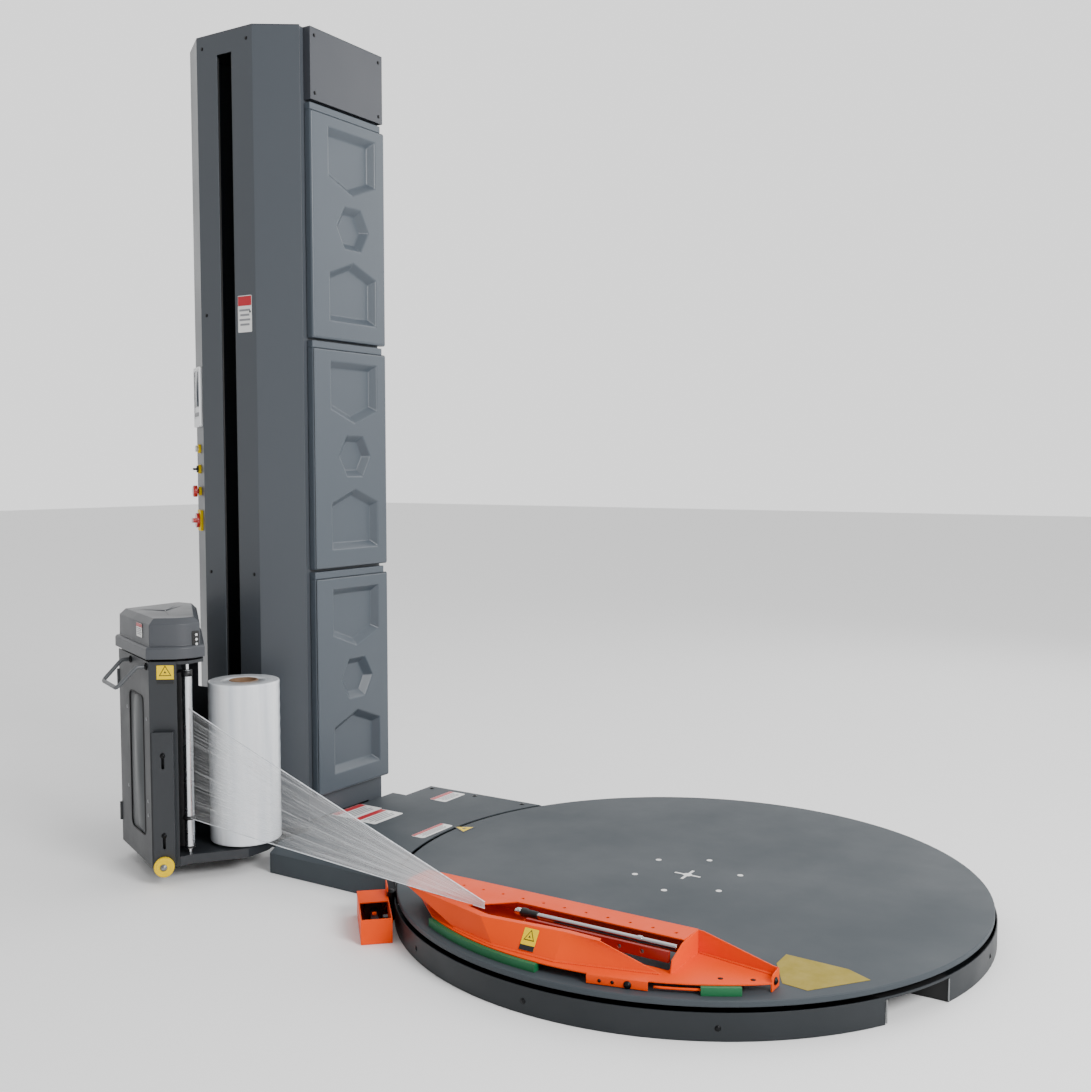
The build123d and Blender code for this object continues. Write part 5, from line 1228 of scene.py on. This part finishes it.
# ------------------------------------------------------------------ clamp
@dataclass
class Clamp:
    """The orange film clamp with its rod, arm, bolts, welds and label."""

    floor: float = 0.110
    edge_radius: float = 0.790
    rod_y: float = -0.630
    rod_z: float = 0.149
    rod_end: float = -0.117
    bead_pitch: float = 0.0055
    seams: list[list[Point3]] = field(default_factory=lambda: [
        [(-0.290, -0.7265, 0.111), (-0.150, -0.7655, 0.111), (0.025, -0.7695, 0.111),
         (0.268, -0.7015, 0.111)],
        [(0.2815, -0.544, 0.1115), (0.2815, -0.684, 0.1115)],
        [(0.290, -0.5425, 0.1115), (0.490, -0.5715, 0.1115)]])

    def build(self) -> None:
        """Builds the clamp's small parts."""
        dress(ORANGE_PAINT, "clamp_base", "clamp_rail", "clamp_guard")
        dress(RED_PAINT, "clamp_arm")
        dress(CHROME_ROD, "pusher_rod")
        dress(GREEN_RUBBER, "edge_strips")
        beads = []
        for path in self.seams:
            for start, end in zip(path, path[1:]):
                a, b = Vector(start), Vector(end)
                count = int((b - a).length / self.bead_pitch)
                beads += [(a.lerp(b, i / count), UP) for i in range(count)]
        Studs("weld_beads", "turntable", beads, WELD_BEAD, ORANGE_PAINT, "orange_paint",
              StudKind.BEAD).build()
        self.gripper()
        self.bolts()
        wall = Seat((-0.055, -0.7475, 0.1375), ACROSS, (0.0, -0.83, 0.557))
        Label("clamp_hazard", "turntable", wall.moved(0.0, 0.0, 0.0016), 0.040, 0.052,
              Print.HAZARD).build()
        log.info("clamp: welds, gripper, bolts and label")

    def gripper(self) -> None:
        """The black joint and bright nose on the end of the pusher rod."""
        seat = Seat((self.rod_end, self.rod_y, self.rod_z), FRONT, (-1.0, 0.0, 0.0))
        shape = Shape().turned(seat, [(0.003, -0.012), (0.0095, -0.012), (0.0095, 0.016),
                                      (0.0115, 0.020), (0.0115, 0.034), (0.006, 0.038)], 28)
        shape.piece("rod_joint", "pusher", BLACK_NYLON, "black_plastic", 0.6)
        shape = Shape().turned(seat, [(0.003, 0.036), (0.0085, 0.037), (0.0095, 0.044),
                                      (0.0085, 0.052), (0.0045, 0.057), (0.001, 0.058)], 28)
        shape.piece("rod_nose", "pusher", CHROME_ROD, "bright_steel")

    def bolts(self) -> None:
        """The bolts on the lug and the foot, and the tail's small cap screws."""
        turn = radians(-76)
        out = (cos(turn), sin(turn), 0.0)
        along = Vector((-sin(turn), cos(turn), 0.0))
        face = Vector(out) * (self.edge_radius + 0.0055)
        small = [(face + along * u + Vector((0, 0, 0.099)), out) for u in (-0.040, -0.010)]
        Studs("lug_screws", "turntable", small, LUG_SCREW, BLACK_BOLT,
              "black_plastic").build()
        big = [(face + along * 0.025 + Vector((0, 0, 0.098)), out),
               (Vector((0.4975, -0.592, 0.108)), ACROSS)]
        Studs("clamp_bolts", "turntable", big, CLAMP_BOLT, BLACK_BOLT, "black_plastic").build()
        tail = [(Vector((0.390, -0.650, self.floor)), UP),
                (Vector((0.455, -0.618, self.floor)), UP)]
        Studs("tail_screws", "turntable", tail, TAIL_SCREW, BLACK_BOLT,
              "black_plastic").build()
        shape = Shape()
        arc = [Vector((cos(radians(t)), sin(radians(t)), 0.0)) * (self.edge_radius + 0.002)
               + Vector((0, 0, 0.098)) for t in range(-70, -61)]
        shape.bar(arc, 0.003, 10)
        shape.piece("edge_rod", "turntable", ORANGE_PAINT, "orange_paint")


# ------------------------------------------------------------------ stretched film
@dataclass
class FilmWeb:
    """The film pulled from the idler roller down to the clamp."""

    idler: Point2 = (-1.3675, -0.6015)
    low: float = 0.188
    high: float = 0.524
    clamp: Point3 = (-0.222, -0.692, 0.171)
    gathered: float = 0.016
    along: int = 120
    across: int = 72
    film: float = 0.0002
    ruck: float = 0.0045

    def point(self, u: float, v: float) -> Vector:
        """A point of the web, u along its run and v up it, with its pulled rucks."""
        start = Vector((*self.idler, self.low + (self.high - self.low) * v))
        end = Vector(self.clamp) + Vector(UP) * self.gathered * (v - 0.5)
        at = start.lerp(end, u)
        run = (end - start).normalized()
        out = Vector((run.y, -run.x, 0.0)).normalized()
        fold = sin(v * 31 + 1.7 * sin(3 * u)) + 0.6 * sin(v * 57 + 2.0) + 0.4 * sin(v * 89 - 4 * u)
        lift = fold * self.ruck * sin(pi * min(1.0, u * 1.05)) ** 0.8
        return at + out * lift * (0.35 + 0.65 * (1 - u))

    def build(self) -> None:
        """Builds the web, with a thin second side, and its roped edges."""
        shape = Shape()
        bm = shape.bm
        layer = bm.loops.layers.uv.new("run")
        grid = [[bm.verts.new(self.point(i / self.along, j / self.across))
                 for j in range(self.across + 1)] for i in range(self.along + 1)]
        for i in range(self.along):
            for j in range(self.across):
                face = bm.faces.new((grid[i][j], grid[i + 1][j], grid[i + 1][j + 1], grid[i][j + 1]))
                corners = ((i, j), (i + 1, j), (i + 1, j + 1), (i, j + 1))
                for loop, (a, b) in zip(face.loops, corners):
                    loop[layer].uv = (a / self.along, b / self.across)
        area = sum(f.calc_area() for f in bm.faces)
        web = shape.piece("stretched_film", None, WebFilm(), "film")
        solid = web.modifiers.new("two_sides", "SOLIDIFY")
        solid.thickness, solid.offset = self.film, 0.0
        ropes = []
        for name, v, radius in (("film_top_edge", 1.0, 0.0016), ("film_bottom_edge", 0.0, 0.0013)):
            edge = Shape().bar([self.point(i / 60, v) for i in range(61)], radius)
            ropes.append(edge.piece(name, None, WoundFilm(name, self.clamp[:2]), "film"))
        for piece in (web, *ropes):
            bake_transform(piece)
        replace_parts(web, "film_web")


# ------------------------------------------------------------------ studio
@dataclass
class Studio:
    """The plain pale floor, the soft lights and the camera."""

    camera: Point3 = (1.4685, -3.1065, 1.2512)
    camera_turn: Point3 = (86.274, 0.0, 32.08)
    lens_mm: float = 40.18
    sensor_mm: float = 36.0
    floor_size: float = 60.0
    bright_side: Point3 = (-0.30, 0.94, 0.15)
    dim: float = 0.40
    bright: float = 1.5

    def build(self) -> None:
        """Builds the floor, lights, world and camera."""
        bm = bmesh.new()
        half = self.floor_size / 2
        bm.faces.new([bm.verts.new((x, y, -0.001)) for x, y in
                      ((-half, -half), (half, -half), (half, half), (-half, half))])
        data = bpy.data.meshes.new("floor")
        bm.to_mesh(data)
        bm.free()
        floor = linked("floor", data)
        data.materials.append(Finish("pale_floor", "fafafa", "f8f8f8", 0.8, Relief.SMOOTH, 50.0,
                                     0.0).build())
        self.surround()
        self.lamp("key", (4.6, -1.7, 3.6), (-1.2, 0.0, 0.9), 2.6, 390.0)
        self.lamp("back", (0.6, 4.6, 3.4), (-0.6, 0.0, 0.8), 3.6, 60.0)
        lens = bpy.data.cameras.new("camera")
        lens.lens, lens.sensor_width = self.lens_mm, self.sensor_mm
        camera = linked("camera", lens)
        camera.location = self.camera
        camera.rotation_euler = [radians(t) for t in self.camera_turn]
        bpy.context.scene.camera = camera

    def surround(self) -> None:
        """The soft white surround, brighter behind the machine than in front of it."""
        world = bpy.data.worlds.new("studio")
        tree = blank_tree(world)
        way = add(tree, "ShaderNodeTexCoord").outputs["Generated"]
        share = add(tree, "ShaderNodeVectorMath", {0: way, 1: self.bright_side},
                    operation="DOT_PRODUCT")
        strength = spread(tree, share.outputs["Value"], -0.8, 0.8, self.dim, self.bright,
                          interpolation_type="SMOOTHSTEP")
        light = add(tree, "ShaderNodeBackground", {"Color": (1.0, 1.0, 1.0, 1.0), "Strength": strength})
        add(tree, "ShaderNodeOutputWorld", {"Surface": light.outputs[0]})
        bpy.context.scene.world = world

    def lamp(self, name: str, place: Point3, target: Point3, size: float, power: float) -> None:
        """Adds one large soft lamp that points at a target."""
        light = bpy.data.lights.new(name, "AREA")
        light.shape, light.size, light.energy = "DISK", size, power
        lamp = linked(name, light)
        lamp.location = place
        lamp.rotation_euler = (Vector(target) - Vector(place)).to_track_quat("-Z", "Y").to_euler()


def main() -> None:
    """Builds every sub-assembly and the studio."""
    for part in (Studio(), Base(), Turntable(), Mast(), Controls(), Carriage(), Clamp(), FilmWeb()):
        part.build()
    bpy.context.view_layer.update()


if __name__ == "__main__":
    main()
